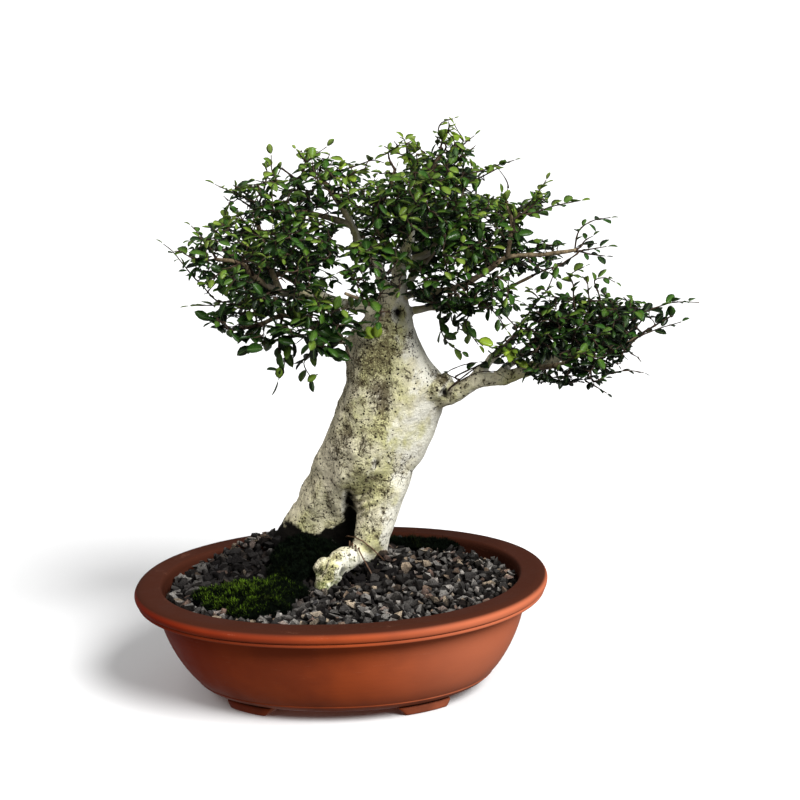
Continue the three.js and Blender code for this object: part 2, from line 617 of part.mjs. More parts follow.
function makeFilling(grownWood) {
  const inside = potInside();
  const soil = filledTo(SOIL_PITCH, soilHeight).intersect(inside).subtract(grownWood);
  addPiece('soil', largestBody(soil), COLOURS.soil, 0.95);
  const overSoil = filledTo(SOIL_PITCH, (x, y) => soilHeight(x, y) + GAP);
  const held = joined([overSoil, grownWood, tieWire(GAP)]);
  const gravel = filledTo(STONE_PITCH, gravelHeight).intersect(inside).subtract(held);
  addPiece('gravel', largestBody(gravel), COLOURS.gravel, 0.9);
  const overGravel = filledTo(STONE_PITCH, (x, y) => gravelHeight(x, y) + GAP);
  Object.entries(MOSS).forEach(([name, patch]) => {
    const { x, y, radiusX, radiusY } = patch;
    const heightAt = (placeX, placeY) => mossHeight(patch, placeX, placeY);
    const block = reliefBlock(x, y, 2.5 * radiusX, 2.5 * radiusY, MOSS_PITCH, MOSS_FLOOR, heightAt);
    const cushion = block.intersect(inside).subtract(joined([overGravel, grownWood]));
    const colour = name === 'moss_front' ? COLOURS.moss : COLOURS.mossShade;
    addPiece(name, largestBody(cushion), colour, 0.95);
  });
}

// The wire bow over the foot of the right leg, its ends pushed into the gravel.
function tieWire(grow) {
  const [centreX, centreY, , radiusX, radiusY] = RIGHT_LEG[1];
  const places = [];
  for (let i = 0; i <= WIRE_STEPS; i += 1) {
    const share = i / WIRE_STEPS;
    const angle = degrees(mix(WIRE_ANGLES[0], WIRE_ANGLES[1], share));
    const rise = WIRE_RISE * Math.sin(Math.PI * share);
    places.push(new THREE.Vector3(
      centreX + (radiusX + WIRE_CLEAR) * Math.cos(angle),
      centreY + (radiusY + WIRE_CLEAR) * Math.sin(angle),
      GRAVEL_RIM_LEVEL - WIRE_DEPTH + rise));
  }
  return tube(new THREE.CatmullRomCurve3(places), () => WIRE_RADIUS + grow, 5, WIRE_STEPS);
}

makePot();
makeDrainMesh('drain_mesh_left', -DRAIN_X);
makeDrainMesh('drain_mesh_right', DRAIN_X);
const grownWood = makeWood(GAP);
makeFilling(grownWood);
addPiece('tie_wire', tieWire(0), COLOURS.wire, 0.5);
addPiece('tree', makeWood(0), COLOURS.bark, 0.85);
Object.entries(BRANCHES).forEach(([name, { radius, route }]) => {
  const curve = new THREE.CatmullRomCurve3(route.map(point));
  remember(ballsAlong(curve, radius[0] * 0.6 + 1, 24), name);
});
SPRAYS.forEach((spray, number) => makeSpray(number, spray, grownWood));

// The origin is the middle of the underside of the whole object's box.
const box = new THREE.Box3().setFromObject(group);
const middle = box.getCenter(new THREE.Vector3());
group.position.set(-middle.x, -middle.y, -box.min.z);

export default group;
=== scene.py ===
"""A Chinese elm bonsai in an oval training pot, finished over the part's frame.

The sizes follow the part: places in lists are millimetres from the middle of the pot's underside, with
+X to the right, -Y to the front and +Z up, and from_pot() turns them into metres in the frame.
"""

import math
from collections import defaultdict

import bmesh
import bpy
import numpy as np
from bpy.props import FloatProperty, FloatVectorProperty, IntProperty, PointerProperty
from mathutils import Matrix, Vector, noise


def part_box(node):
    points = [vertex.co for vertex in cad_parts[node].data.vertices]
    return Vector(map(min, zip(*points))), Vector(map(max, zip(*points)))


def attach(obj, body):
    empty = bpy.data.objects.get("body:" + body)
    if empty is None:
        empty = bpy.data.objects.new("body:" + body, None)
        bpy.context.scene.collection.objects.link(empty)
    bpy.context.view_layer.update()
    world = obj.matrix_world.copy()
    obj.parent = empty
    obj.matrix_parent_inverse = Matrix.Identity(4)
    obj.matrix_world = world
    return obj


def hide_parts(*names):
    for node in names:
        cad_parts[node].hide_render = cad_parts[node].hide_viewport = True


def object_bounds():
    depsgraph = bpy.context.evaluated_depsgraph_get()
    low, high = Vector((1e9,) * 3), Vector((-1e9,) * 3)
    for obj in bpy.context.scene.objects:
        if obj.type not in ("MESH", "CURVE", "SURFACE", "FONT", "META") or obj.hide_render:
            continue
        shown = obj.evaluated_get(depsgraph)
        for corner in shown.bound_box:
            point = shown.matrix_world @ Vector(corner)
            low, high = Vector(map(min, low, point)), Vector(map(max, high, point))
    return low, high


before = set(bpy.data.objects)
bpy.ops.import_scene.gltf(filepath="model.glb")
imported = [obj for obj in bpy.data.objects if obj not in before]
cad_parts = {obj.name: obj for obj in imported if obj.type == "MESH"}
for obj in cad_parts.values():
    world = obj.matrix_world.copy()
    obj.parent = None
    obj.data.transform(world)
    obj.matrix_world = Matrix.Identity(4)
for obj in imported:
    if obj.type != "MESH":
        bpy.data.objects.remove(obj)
CAD_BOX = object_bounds()

bl_info = {
    "name": "Chinese Elm Bonsai",
    "version": (1, 0, 0),
    "blender": (4, 5, 0),
    "location": "View3D > Sidebar > Bonsai",
    "description": "Builds a Chinese elm bonsai in an oval training pot",
    "category": "Add Mesh",
}

MM = 0.001
CAMERA_AZIMUTH = 6.7
CAMERA_ELEVATION = 14.1
CAMERA_ROLL = -2.9
CAMERA_DISTANCE = 2000.0
CAMERA_TARGET = (60.0, 0.0, 257.0)
SENSOR_WIDTH = 36.0
KEY_PLACE = (1500, -1450, 1950)
FILL_PLACE = (-1300, -1000, 2300)
# The fill light looks this much wider than the key light, and the floor reaches this far, in metres.
FILL_WIDER = 1.4
FLOOR_REACH = 60.0
POT_LOW, POT_HIGH = (np.array(corner, float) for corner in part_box("pot"))
POT_MIDDLE = (POT_LOW + POT_HIGH) / 2 * np.array([1.0, 1.0, 0.0])

# The pot, in millimetres, as offsets inward from the rim's outline and heights from the ground.
OVAL_POWER = 2.1
OVAL_SEGMENTS = 168
FOOT_HEIGHT = 8.3
BAND_TOP = 17.0
BAND_PROUD = 0.9
BODY_TOP = 83.2
BODY_TOP_OFFSET = 19.5
BODY_BULGE = 43.8
BODY_BULGE_POWER = 1.52
WALL = 5.5
FLOOR_TOP = 14.0
RIM_INNER_OFFSET = 24.0
FOOT_ANGLES = (38.0, 60.0)
FOOT_DEPTH = 15.0
DRAIN_PLACES = ((-62.0, 0.0), (62.0, 0.0))
DRAIN_RADIUS = 8.0

# The ground in the pot. A heap has a middle x and y, a height, and half widths in x and in y.
GRAVEL_LEVEL = 95.0
HEAPS = ((-16.0, 62.0, 20.0, 58.0, 44.0), (36.0, 24.0, 12.0, 26.0, 20.0), (-76.0, 84.0, 13.0, 48.0, 42.0))
# Crusts of rock that lean on the left foot: place and width.
CRUSTS = (
    (-62, 50, 117, 15), (-54, 44, 115, 13), (-46, 38, 112, 12), (-67, 58, 122, 13), (-60, 56, 128, 10),
    (-70, 48, 113, 12), (-52, 36, 109, 11), (-66, 40, 109, 10), (-74, 60, 116, 11), (-56, 50, 123, 9),
)
# Where the stones are painted dark, with soil and with painted shade under and beside the trunk: middle x
# and y, radius in x and in y, and how dark.
DARK_GROUND = (
    (14, 2, 20, 14, 1.4), (-40, 14, 36, 44, 1.05), (-92, 24, 56, 50, 1.1), (-50, -50, 46, 30, 0.8),
    (-110, -30, 40, 30, 0.8),
)
MOSS = {
    "moss_front": {"x": -70, "y": -44, "radius_x": 48, "radius_y": 47, "height": 9, "tufts": 10500},
    "moss_shade": {"x": -36, "y": 26, "radius_x": 33, "radius_y": 32, "height": 19, "tufts": 4200},
    "moss_back": {"x": 62, "y": 96, "radius_x": 36, "radius_y": 15, "height": 5, "tufts": 2000},
}

# Level rings of the thick wood: middle x and y, height, radius in x and in y.
LEFT_LEG = (
    (-40, 64, 66, 30, 21), (-38, 62, 95, 31, 23), (-35, 60, 118, 31, 21), (-25.5, 56, 137, 28.5, 22),
    (-17, 52, 154, 25.5, 23), (-7, 48, 172, 27, 25), (7, 44, 196, 25, 24),
)
RIGHT_LEG = (
    (18, 40, 66, 20, 16), (19, 40, 95, 19, 14), (20, 37, 110, 18, 15), (22, 33, 121, 18.4, 17),
    (27, 34, 137, 20.0, 18.5), (31, 35, 153, 22.0, 20), (36, 36, 169, 24.5, 22), (40, 37, 194, 26.5, 25),
)
TRUNK = (
    (-3, 62, 96, 22, 12), (-1, 58, 120, 22, 14), (2, 53, 142, 28, 20), (8, 47, 164, 35, 27),
    (21.5, 43, 187, 47.5, 35), (30.5, 39, 208, 48, 38), (38.5, 36, 228, 46.8, 38), (46, 32, 248, 46, 36),
    (52, 29, 267, 43, 34), (48.5, 25, 286, 35.5, 31), (46.5, 22, 300, 32.5, 28), (48, 18, 314, 27.5, 24),
    (52, 16, 327, 21, 19), (56, 14, 341, 14, 13.5), (60, 12, 356, 10.5, 10),
)
ROOT_PLATE = ((-6, 40, 46, 40, 34), (-6, 40, 62, 62, 48), (-6, 42, 78, 44, 36))
# The wire round the right leg's foot: its height by angle, its twisted end, and its way down to the gravel.
WIRE_BOW = ((185, 126), (210, 129), (240, 130), (262, 127), (285, 120), (305, 112), (318, 107))
WIRE_TWIST = ((7, 16, 125), (16, 13, 119))
WIRE_END = ((20, 8, 113), (26, 2, 104), (30, -2, 97))

# Every branch: its radius where it leaves the wood that it grows from and at its end, and its route.
BRANCHES = {
    "leader": (8.0, 1.4, (
        (56, 14, 330), (60, 11, 352), (66, 9, 373), (73, 7, 390), (76, 5, 410), (82, 4, 430), (93, 2, 447),
        (104, 0, 465))),
    "crown_left": (3.0, 1.3, (
        (66, 9, 373), (54, -2, 396), (47, -8, 417), (59, -10, 436), (67, -11, 456))),
    "crown_back": (3.5, 1.8, ((76, 5, 410), (80, 22, 424), (78, 34, 440), (74, 24, 464))),
    "back_left": (5.4, 2.0, (
        (52, 16, 335), (48, 20, 352), (44, 24, 370), (30, 32, 384), (22, 38, 402), (10, 44, 422),
        (-5, 48, 444))),
    "back_left_low": (3.5, 1.4, ((22, 38, 402), (0, 56, 406), (-28, 70, 410), (-50, 80, 408))),
    "left_main": (5.6, 1.5, (
        (46, 16, 320), (38, 12, 332), (20, 6, 340), (4, -2, 347), (-12, -9, 354), (-34, -17, 357),
        (-55, -25, 373), (-63, -28, 384), (-84, -31, 389))),
    "left_low": (3.6, 1.4, (
        (24, 14, 306), (2, 2, 312), (-12, -7, 325), (-34, -14, 336), (-52, -22, 331), (-76, -30, 328))),
    "left_up": (3.0, 1.4, ((-34, -17, 357), (-45, -6, 381), (-51, 4, 400), (-56, 12, 422))),
    "left_back": (3.6, 1.5, ((4, -2, 347), (-18, 18, 352), (-40, 38, 360), (-60, 52, 362))),
    "right_mid": (3.6, 1.5, (
        (56, 12, 338), (74, 8, 347), (90, 2, 350), (107, -5, 353), (122, -10, 359), (139, -14, 369),
        (157, -18, 381), (187, -20, 383), (214, -16, 385))),
    "right_up": (2.4, 1.3, ((157, -18, 381), (160, -18, 396), (162, -17, 412), (158, -14, 426))),
    "right_back": (3.8, 1.2, (
        (58, 18, 328), (88, 22, 332), (102, 32, 330), (122, 44, 330), (148, 58, 338), (172, 66, 348))),
    "right_inner": (3.8, 1.4, (
        (66, 9, 373), (88, 20, 380), (104, 36, 396), (124, 50, 404), (140, 58, 410))),
    "low_right": (9.8, 1.7, (
        (72, 34, 246), (90, 24, 251), (102, 17, 256), (113, 13, 263), (125, 10, 269), (143, 7, 272),
        (158, 3, 276), (176, -4, 284), (206, -8, 296), (232, -8, 299), (252, -8, 302), (264, -7, 310))),
    "low_fork": (6.4, 1.6, (
        (120, 11, 267), (130, 11, 279), (138, 13, 288), (147, 15, 295), (162, 20, 308))),
    "low_back": (4.5, 1.5, ((143, 3, 275), (160, 26, 286), (178, 50, 298), (196, 70, 306))),
    "low_front": (3.0, 1.4, ((176, -4, 284), (190, -24, 289), (204, -44, 297))),
    "back": (5.0, 1.5, ((48, 28, 322), (44, 52, 346), (34, 78, 366), (22, 98, 384))),
    "back_right": (4.0, 1.5, ((60, 18, 344), (78, 48, 362), (92, 76, 376), (108, 96, 388))),
    "front": (3.6, 1.4, ((50, 8, 326), (46, -16, 342), (38, -38, 352), (26, -56, 362))),
}
SURFACE_ROOT = (11.5, 7.5, (
    (19, 31, 112), (9, 21, 113), (-1, 10, 109), (-9, 0, 104), (-12, -7, 98), (-12, -12, 89),
    (-9, -16, 76)))
SURFACE_ROOT_BULGE = 0.10
# Knobs of the surface root, the left foot and the low branch's collar: middle and radius.
KNOBS = (
    (-14, 0, 108, 9.5), (-7, -5, 105, 11), (-1, 6, 112, 8.5), (-13, -9, 97, 9), (-57, 56, 116, 10),
    (93, 17, 262, 10), (97, 17, 259, 8), (97, 19, 268, 7.5), (85, 18, 262, 12),
)

# Every spray of foliage: the branch and the point of its route that it grows from, its tip, and how far
# its middle bows out of the straight line.
SPRAYS = (
    ("left_main", 8, (-127, -36, 404), (-4, 0, -8)),
    ("left_main", 8, (-106, -20, 416), (0, 4, 4)),
    ("left_up", 2, (-75, -6, 432), (-4, 0, 0)),
    ("left_up", 3, (-91, 24, 443), (0, 4, 0)),
    ("left_up", 3, (-42, 26, 466), (4, 2, 0)),
    ("back_left", 6, (7, 14, 473), (0, -8, 6)),
    ("back_left", 6, (-24, 44, 474), (-6, 2, 0)),
    ("back_left", 5, (46, 4, 462), (-10, -12, 10)),
    ("left_main", 7, (-98, -60, 370), (-4, -4, 2)),
    ("left_low", 5, (-94, -50, 338), (0, -4, 4)),
    ("left_low", 4, (-67, -44, 314), (-2, -6, 4)),
    ("left_low", 3, (-37, -36, 287), (-2, -10, 4)),
    ("left_main", 5, (-42, -84, 364), (-4, 2, 4)),
    ("left_main", 3, (-9, -76, 345), (4, 4, 6)),
    ("left_main", 6, (-60, -66, 404), (4, -6, 2)),
    ("left_back", 3, (-98, 32, 375), (-4, 6, 4)),
    ("left_back", 2, (-63, 84, 360), (4, 4, 2)),
    ("back_left_low", 2, (-40, 92, 444), (4, 4, 4)),
    ("back_left_low", 3, (-92, 70, 408), (-4, 2, 4)),
    ("crown_left", 4, (59, -14, 484), (-4, 0, 2)),
    ("crown_back", 3, (70, 26, 492), (0, 2, 2)),
    ("leader", 7, (116, -2, 497), (-4, 0, 2)),
    ("leader", 6, (138, 14, 472), (4, 4, 2)),
    ("leader", 5, (160, -10, 456), (4, -4, -4)),
    ("right_inner", 3, (130, 58, 436), (4, 4, 2)),
    ("right_up", 3, (152, -16, 450), (2, -2, 0)),
    ("crown_left", 2, (20, -24, 440), (-2, -4, 2)),
    ("front", 2, (24, -62, 392), (4, -4, 2)),
    ("front", 1, (54, -66, 336), (6, -2, 4)),
    ("crown_left", 1, (92, -50, 436), (6, -6, -2)),
    ("right_mid", 3, (108, -66, 400), (2, -4, 0)),
    ("right_mid", 4, (134, -64, 372), (0, -4, 4)),
    ("back", 3, (46, 128, 404), (2, 2, 2)),
    ("back_right", 3, (98, 108, 422), (2, 4, 2)),
    ("right_inner", 4, (178, 62, 404), (0, 4, 2)),
    ("right_back", 2, (104, 26, 292), (4, -4, 0)),
    ("right_up", 2, (198, -10, 440), (2, 2, -4)),
    ("right_mid", 8, (241, -10, 412), (2, 2, -2)),
    ("right_back", 5, (214, 62, 362), (0, 4, 2)),
    ("low_right", 9, (220, 2, 366), (-4, 2, 0)),
    ("low_right", 11, (313, -4, 337), (2, 0, 2)),
    ("low_right", 10, (268, -24, 282), (2, -6, -2)),
    ("low_right", 7, (190, -40, 264), (-6, -8, -2)),
    ("low_right", 7, (184, 2, 338), (-4, 2, 4)),
    ("low_right", 8, (216, -44, 334), (0, -4, 4)),
    ("low_front", 2, (228, -74, 314), (0, -2, 4)),
    ("low_right", 9, (246, 34, 344), (2, 2, 2)),
    ("low_fork", 2, (152, -30, 312), (0, -2, 4)),
    ("low_fork", 4, (194, 38, 352), (-4, 4, 2)),
    ("low_back", 3, (246, 78, 308), (0, 6, 4)),
)

# The clouds of foliage that the twigs grow out to: middle x, y and z, and radius in x, y and z.
FOLIAGE_PADS = (
    (103, 2, 457, 27, 26, 28), (96, -28, 428, 36, 34, 36), (98, 40, 421, 39, 40, 39),
    (62, -6, 426, 25, 40, 30), (2, 30, 439, 37, 34, 25), (-50, 14, 430, 32, 34, 22),
    (-74, -12, 391, 35, 44, 29), (-17, -6, 399, 32, 50, 27), (-37, -48, 374, 41, 30, 25),
    (-62, -30, 338, 30, 34, 20), (-3, -40, 335, 37, 30, 23), (-46, 62, 365, 52, 36, 35),
    (51, -34, 377, 28, 30, 30), (135, -8, 399, 38, 46, 30), (127, -30, 365, 35, 34, 18),
    (147, 56, 395, 43, 36, 34), (180, 10, 411, 22, 30, 18), (205, -12, 388, 22, 20, 9),
    (170, 45, 374, 26, 28, 18), (57, 92, 387, 53, 30, 39), (215, -4, 306, 42, 38, 28),
    (248, -6, 319, 33, 34, 22), (173, -6, 304, 27, 30, 22), (222, 44, 308, 43, 26, 24),
    (210, -20, 286, 42, 28, 13), (200, 10, 318, 34, 34, 24), (230, -10, 300, 34, 36, 22),
    (104, -10, 353, 36, 30, 15), (122, 0, 341, 28, 24, 12), (84, -22, 364, 24, 26, 18),
    (140, -24, 348, 26, 22, 12), (88, 10, 348, 16, 20, 10),
)
# A spray's stem stops this far short of its tip, which its last leaf reaches.
TIP_LEAF = 13.0
# Wood with a smaller radius than this is a plain tube and not part of the trunk's skin.
THIN_WOOD = 3.3
LARGEST_LEAF = 18
# How far a leaf leans from its twig, in degrees, and how broad it is, as a share of its length.
LEAF_LEAN = (38, 68)
TIP_LEAF_LEAN = (4, 14)
LEAF_BREADTH = (0.44, 0.62)
# The length of one straight piece of a twig and of a spray's stem.
TWIG_STEP = 3.2
STEM_STEP = 3
# Where along a spray's stem its side twigs start, and how long they are.
SIDE_TWIGS = (0.35, 0.9, 0.16)
SIDE_TWIG_LENGTH = (11, 21)
MOST_PLACES = 60000
# Leaves this near to the wood that shows between them are mostly left away, by this share.
SHOWN_MARGIN = 4.5
SHOWN_SHARE = 0.72

# The crown's outline as the camera sees it on the upright plane through the trunk: x and z.
CROWN_OUTLINE = (
    (-101, 329), (-112, 346), (-113, 357), (-120, 374), (-128, 390), (-118, 405), (-110, 412), (-96, 412),
    (-83, 421), (-80, 431), (-72, 431), (-64, 420), (-57, 432), (-73, 440), (-80, 449), (-74, 452),
    (-56, 451), (-44, 448), (-45, 462), (-39, 470), (-29, 469), (-28, 455), (-16, 452), (-15, 464),
    (-16, 474), (0, 477), (11, 475), (6, 464), (21, 464), (35, 460), (46, 463), (57, 454), (64, 465),
    (57, 475), (68, 480), (81, 487), (90, 487), (88, 485), (89, 470), (102, 470), (99, 489), (105, 494),
    (118, 496), (121, 489), (125, 481), (134, 480), (140, 472), (132, 464), (132, 456), (149, 461),
    (164, 460), (163, 455), (149, 452), (138, 447), (137, 438), (122, 437), (123, 433), (141, 431),
    (154, 431), (161, 422), (170, 423), (177, 436), (184, 443), (192, 442), (194, 429), (188, 418),
    (170, 408), (173, 395), (167, 388), (186, 394), (204, 389), (207, 377), (196, 367), (182, 368),
    (171, 361), (185, 359), (181, 351), (198, 357), (206, 359), (214, 362), (218, 368), (229, 367),
    (231, 358), (239, 359), (245, 353), (243, 341), (261, 343), (268, 337), (292, 339), (294, 331),
    (287, 323), (264, 320), (265, 312), (259, 300), (253, 286), (245, 276), (230, 266), (211, 268),
    (200, 265), (185, 264), (160, 268), (162, 280), (145, 286), (125, 290), (109, 300), (103, 314),
    (89, 316), (97, 333), (86, 338), (68, 343), (52, 345), (47, 311), (22, 304), (13, 292), (-5, 289),
    (-8, 273), (-19, 274), (-20, 289), (-35, 287), (-39, 276), (-45, 276), (-47, 295), (-62, 301),
    (-79, 311), (-98, 319),
)
# Gaps in it that show light through the crown: x, z and radius.
LIGHT_GAPS = (
    (18, 398, 7.5), (1, 369, 4), (11, 370, 4), (-33, 361, 5), (-40, 310, 6), (-25, 308, 6), (-46, 410, 4),
    (85, 325, 9), (92, 308, 11), (100, 295, 10), (103, 285, 8), (135, 322, 9), (150, 318, 9), (128, 325, 6),
    (112, 280, 6), (220, 373, 4),
)
# The stretches of branches that show between the leaves, as shares of the branch's length.
SHOWN_WOOD = (
    ("left_main", 0.55, 1.0), ("left_low", 0.62, 1.0), ("right_mid", 0.30, 0.98), ("leader", 0.0, 0.24),
    ("low_right", 0.0, 0.46), ("left_up", 0.0, 0.3), ("right_up", 0.0, 0.35), ("left_low", 0.1, 0.3),
)
# Places with pale young leaves, and how far they reach.
YOUNG_SHOOTS = (
    (44, -20, 327, 12), (139, -20, 308, 15), (157, -20, 298, 12), (72, 10, 468, 22),
    (20, 20, 448, 16), (-38, 12, 434, 16), (120, 5, 486, 20),
)
# Hollows and swellings of the trunk's front: place, half width, half height, and push (inward if below 0);
# deep hollows are also painted dark as painted shade.
WOOD_MARKS = (
    (63, -5, 333, 4.5, 5.5, -4.5), (98, 8, 260, 3.4, 5.6, -3.4), (93, 10, 279, 2.2, 5, -3.0),
    (90, 6, 263, 3, 7, 1.8), (105, 10, 262, 3, 6, 1.2), (48.5, -2, 262, 5.5, 15, -0.8),
    (37, 4, 200, 1.8, 2.8, -2.4), (74, -8, 316, 3, 4, -1.4), (30, 4, 262, 10, 14, 1.2),
    (10, 24, 173, 4, 6, -1.5), (9, 26, 165, 5, 8, -4.0), (7, 27, 155, 5, 10, -6.0),
    (5, 29, 143, 5, 10, -6.0), (3, 32, 130, 6, 10, -6.0), (24, 12, 194, 12, 6, 1.6),
    (-17, -6, 107, 4.5, 1.3, -2.4), (-11, -4, 113, 1.5, 4, -2.2), (3, -2, 105, 3, 4, -2.4),
    (-15, -12, 101, 5, 1.4, -1.6), (-5, -4, 113, 4, 1.2, -1.8), (-1, -4, 106, 1.3, 4, -1.6),
)
# Below this line, as x and z, the left foot is painted black: wet moss and soil, and painted shade between
# the legs.
WET_AND_SHADE_LINE = ((-70, 124), (-58, 136), (-47, 136), (-31, 127), (-13, 130), (0, 138), (4, 152), (9, 166))
# Where the bark of the trunk's front is mottled darkest: x, z, half width, half height and strength; the
# spot at x 58, z 186 on the right leg's top is painted shade.
MOTTLES = (
    (27, 285, 17, 18, 0.30), (41, 303, 16, 14, 0.36), (58, 317, 14, 14, 0.34), (38, 268, 14, 12, 0.24),
    (72, 310, 6, 9, 0.45), (58, 186, 9, 9, 0.4), (50, 290, 14, 12, 0.25), (47.5, 262, 6.5, 14, 0.60),
    (45, 246, 7, 8, 0.40), (15, 232, 6.5, 9, 0.60),
    (7, 219, 6, 9, 0.42), (2, 208, 6, 8, 0.3), (37, 201, 4, 4, 0.5), (13, 181, 9, 6, 0.30),
    (25, 188, 12, 5, 0.26), (37, 183, 9, 7, 0.22), (42, 172, 8, 8, 0.20), (90, 267, 11, 12, 0.25),
    (90, 277, 5, 6, 0.5), (99, 271, 6, 4, 0.5), (84, 282, 8, 8, 0.3),
    (68, 240, 16, 30, -0.4), (72, 282, 10, 10, -0.2), (76, 210, 12, 20, -0.4),
    (40, 150, 14, 18, 0.05), (25, 118, 8, 6, -1.5), (120, 270, 20, 12, -0.15), (-8, 104, 16, 12, 0.40),
    (24, 134, 14, 20, 0.22), (31, 222, 16, 16, 0.18), (60, 262, 14, 16, 0.12), (-22, 152, 16, 20, 0.14),
)
# The long twigs that stand out of the crown: the spacing of their leaves, those leaves' size, the route.
LONG_TWIGS = (
    (10, 0.62, ((-56, -30, 346), (-70, -30, 353), (-85, -30, 353), (-97, -30, 366), (-105, -30, 375),
                (-113, -30, 386), (-121, -30, 397), (-128, -30, 403))),
    (7, 0.7, ((-80, -8, 392), (-95, -8, 400), (-108, -8, 414))),
    (6, 0.8, ((-73, 6, 400), (-79, 6, 410), (-81, 6, 419), (-77, 6, 430))),
    (6, 0.9, ((-39, 12, 420), (-61, 12, 431), (-73, 12, 437), (-89, 12, 445))),
    (7, 0.9, ((-36, 20, 442), (-41, 20, 453), (-41, 20, 467))),
    (8, 0.8, ((-20, 30, 445), (-11, 30, 460), (5, 30, 471))),
    (9, 0.6, ((-11, 30, 456), (-21, 30, 470))),
    (9, 0.8, ((26, 60, 377), (24, 60, 391), (20, 60, 407), (6, 60, 423), (2, 60, 430))),
    (7, 0.9, ((5, 40, 446), (14, 40, 452), (22, 40, 455))),
    (8, 0.9, ((5, 40, 446), (32, 40, 454), (42, 40, 457), (53, 30, 456))),
    (8, 0.6, ((105, 0, 465), (109, 0, 472), (105, 0, 479), (103, 0, 486), (106, 0, 492), (116, 0, 495))),
    (7, 0.7, ((113, 8, 468), (123, 8, 475), (119, 8, 483), (116, 8, 489))),
    (9, 0.8, ((108, 10, 463), (118, 10, 469), (132, 10, 479))),
    (8, 0.9, ((90, -20, 445), (97, -20, 456), (103, -20, 467))),
    (5, 0.9, ((78, 20, 459), (76, 20, 467), (72, 20, 477))),
    (7, 0.8, ((75, 10, 464), (64, 10, 468), (56, 10, 473))),
    (8, 0.8, ((115, 0, 446), (128, 0, 449), (141, 0, 452), (150, 0, 455), (165, 0, 459))),
    (9, 0.9, ((49, -20, 419), (60, -20, 437), (64, -20, 448), (69, -20, 458))),
    (6, 1.0, ((164, -20, 397), (164, -20, 407), (163, -20, 418), (158, -20, 428), (155, -20, 434))),
    (5, 0.8, ((164, -10, 413), (174, -10, 422), (183, -10, 432), (191, -10, 443))),
    (8, 1.0, ((167, -15, 414), (184, -15, 418), (196, -15, 422), (219, -15, 426))),
    (8, 0.8, ((213, -14, 383), (217, -14, 401), (229, -14, 409), (243, -14, 411))),
    (8, 0.7, ((216, -14, 389), (222, -14, 393), (228, -14, 396))),
    (8, 0.9, ((215, -14, 383), (225, -14, 385), (239, -14, 387))),
    (9, 0.8, ((215, -14, 383), (225, -14, 381), (238, -14, 379))),
    (9, 0.7, ((216, -20, 384), (204, -20, 376), (192, -20, 369))),
    (9, 0.8, ((176, -20, 377), (186, -20, 370), (196, -20, 366))),
    (6, 0.8, ((196, -8, 342), (186, -8, 351), (178, -8, 351))),
    (6, 0.8, ((210, 0, 340), (210, 0, 353), (208, 0, 361), (220, 0, 368))),
    (6, 0.8, ((232, 0, 339), (230, 0, 348), (228, 0, 356), (237, 0, 358), (245, 0, 354))),
    (7, 0.9, ((259, -10, 323), (285, -10, 336), (298, -10, 338), (314, -10, 337))),
    (10, 0.8, ((249, -10, 296), (260, -10, 307), (278, -10, 315), (299, -10, 321))),
    (8, 0.6, ((225, -20, 274), (237, -20, 280), (253, -20, 283), (267, -20, 281))),
    (10, 0.6, ((218, -20, 276), (227, -20, 270), (236, -20, 264))),
    (7, 0.9, ((162, -10, 318), (154, -10, 330), (152, -10, 338))),
    (9, 0.9, ((-64, -30, 353), (-84, -30, 350), (-109, -30, 350))),
    (9, 1.1, ((-65, -30, 342), (-76, -30, 344), (-91, -30, 336))),
    (12, 1.3, ((-43, -30, 331), (-60, -30, 330), (-74, -30, 329), (-91, -30, 336))),
    (8, 1.0, ((-25, -30, 322), (-30, -30, 308), (-33, -30, 296), (-38, -30, 285))),
    (8, 1.0, ((-8, -30, 321), (-10, -30, 308), (-16, -30, 298), (-11, -30, 286))),
    (9, 1.5, ((-25, -30, 322), (-39, -30, 319), (-58, -30, 314))),
    (7, 1.0, ((123, -15, 350), (124, -15, 335), (120, -15, 324), (130, -15, 307))),
    (8, 1.0, ((133, -15, 345), (147, -15, 331), (154, -15, 319))),
    (14, 0.8, ((101, 10, 262), (120, 10, 278), (146, 10, 294))),
    (14, 0.8, ((107, 10, 273), (127, 10, 283), (146, 10, 292))),
)
# Single leaves that stand out: the base, the lean in the view's plane in degrees, the length and the youth.
SINGLE_LEAVES = (
    (44, -13, 313, 77, 15, 0.75), (44, -13, 315, 160, 14, 0.9), (43, -13, 313, 122, 14, 0.6),
    (23, -40, 319, 161, 23, 0.0), (12, -40, 321, 139, 21, 0.0), (-2, -40, 332, 159, 20, 0.0),
    (8, -40, 310, -42, 13, 0.0), (-35, -40, 299, -97, 11, 0.3), (-3, -40, 291, -145, 11, 0.3),
    (-44, -50, 316, 176, 17, 0.0), (-50, -50, 338, 172, 17, 0.0), (-18, -50, 320, 168, 16, 0.0),
    (6, -50, 309, 8, 17, 0.0), (27, -46, 303, 152, 17, 0.0), (-6, -50, 317, 22, 16, 0.0),
    (145, -25, 308, 156, 15, 0.95), (149, -25, 303, -20, 14, 0.95), (161, -25, 294, -19, 12, 0.8),
)
# A hanging shoot with round leaves and a few bare twigs by the low branch: leaves or not, and the route.
HANGING_SHOOTS = (
    (True, ((108, 2, 340), (98, 0, 333), (97, 0, 324), (99, 0, 313), (105, 0, 304), (114, 0, 298))),
    (False, ((100, 10, 277), (113, 8, 284), (127, 6, 287))),
    (False, ((101, 10, 264), (113, 6, 272), (129, 4, 279), (145, 5, 279))),
)


def from_pot(places):
    """Millimetres from the middle of the pot's underside as metres in the part's frame."""
    return np.asarray(places, float) * MM + POT_MIDDLE


def unit(vectors):
    """The vectors, each at length one."""
    vectors = np.asarray(vectors, float)
    return vectors / np.maximum(np.linalg.norm(vectors, axis=-1, keepdims=True), 1e-9)


def mix(low, high, share):
    """The value a share of the way from low to high."""
    return low + (high - low) * share


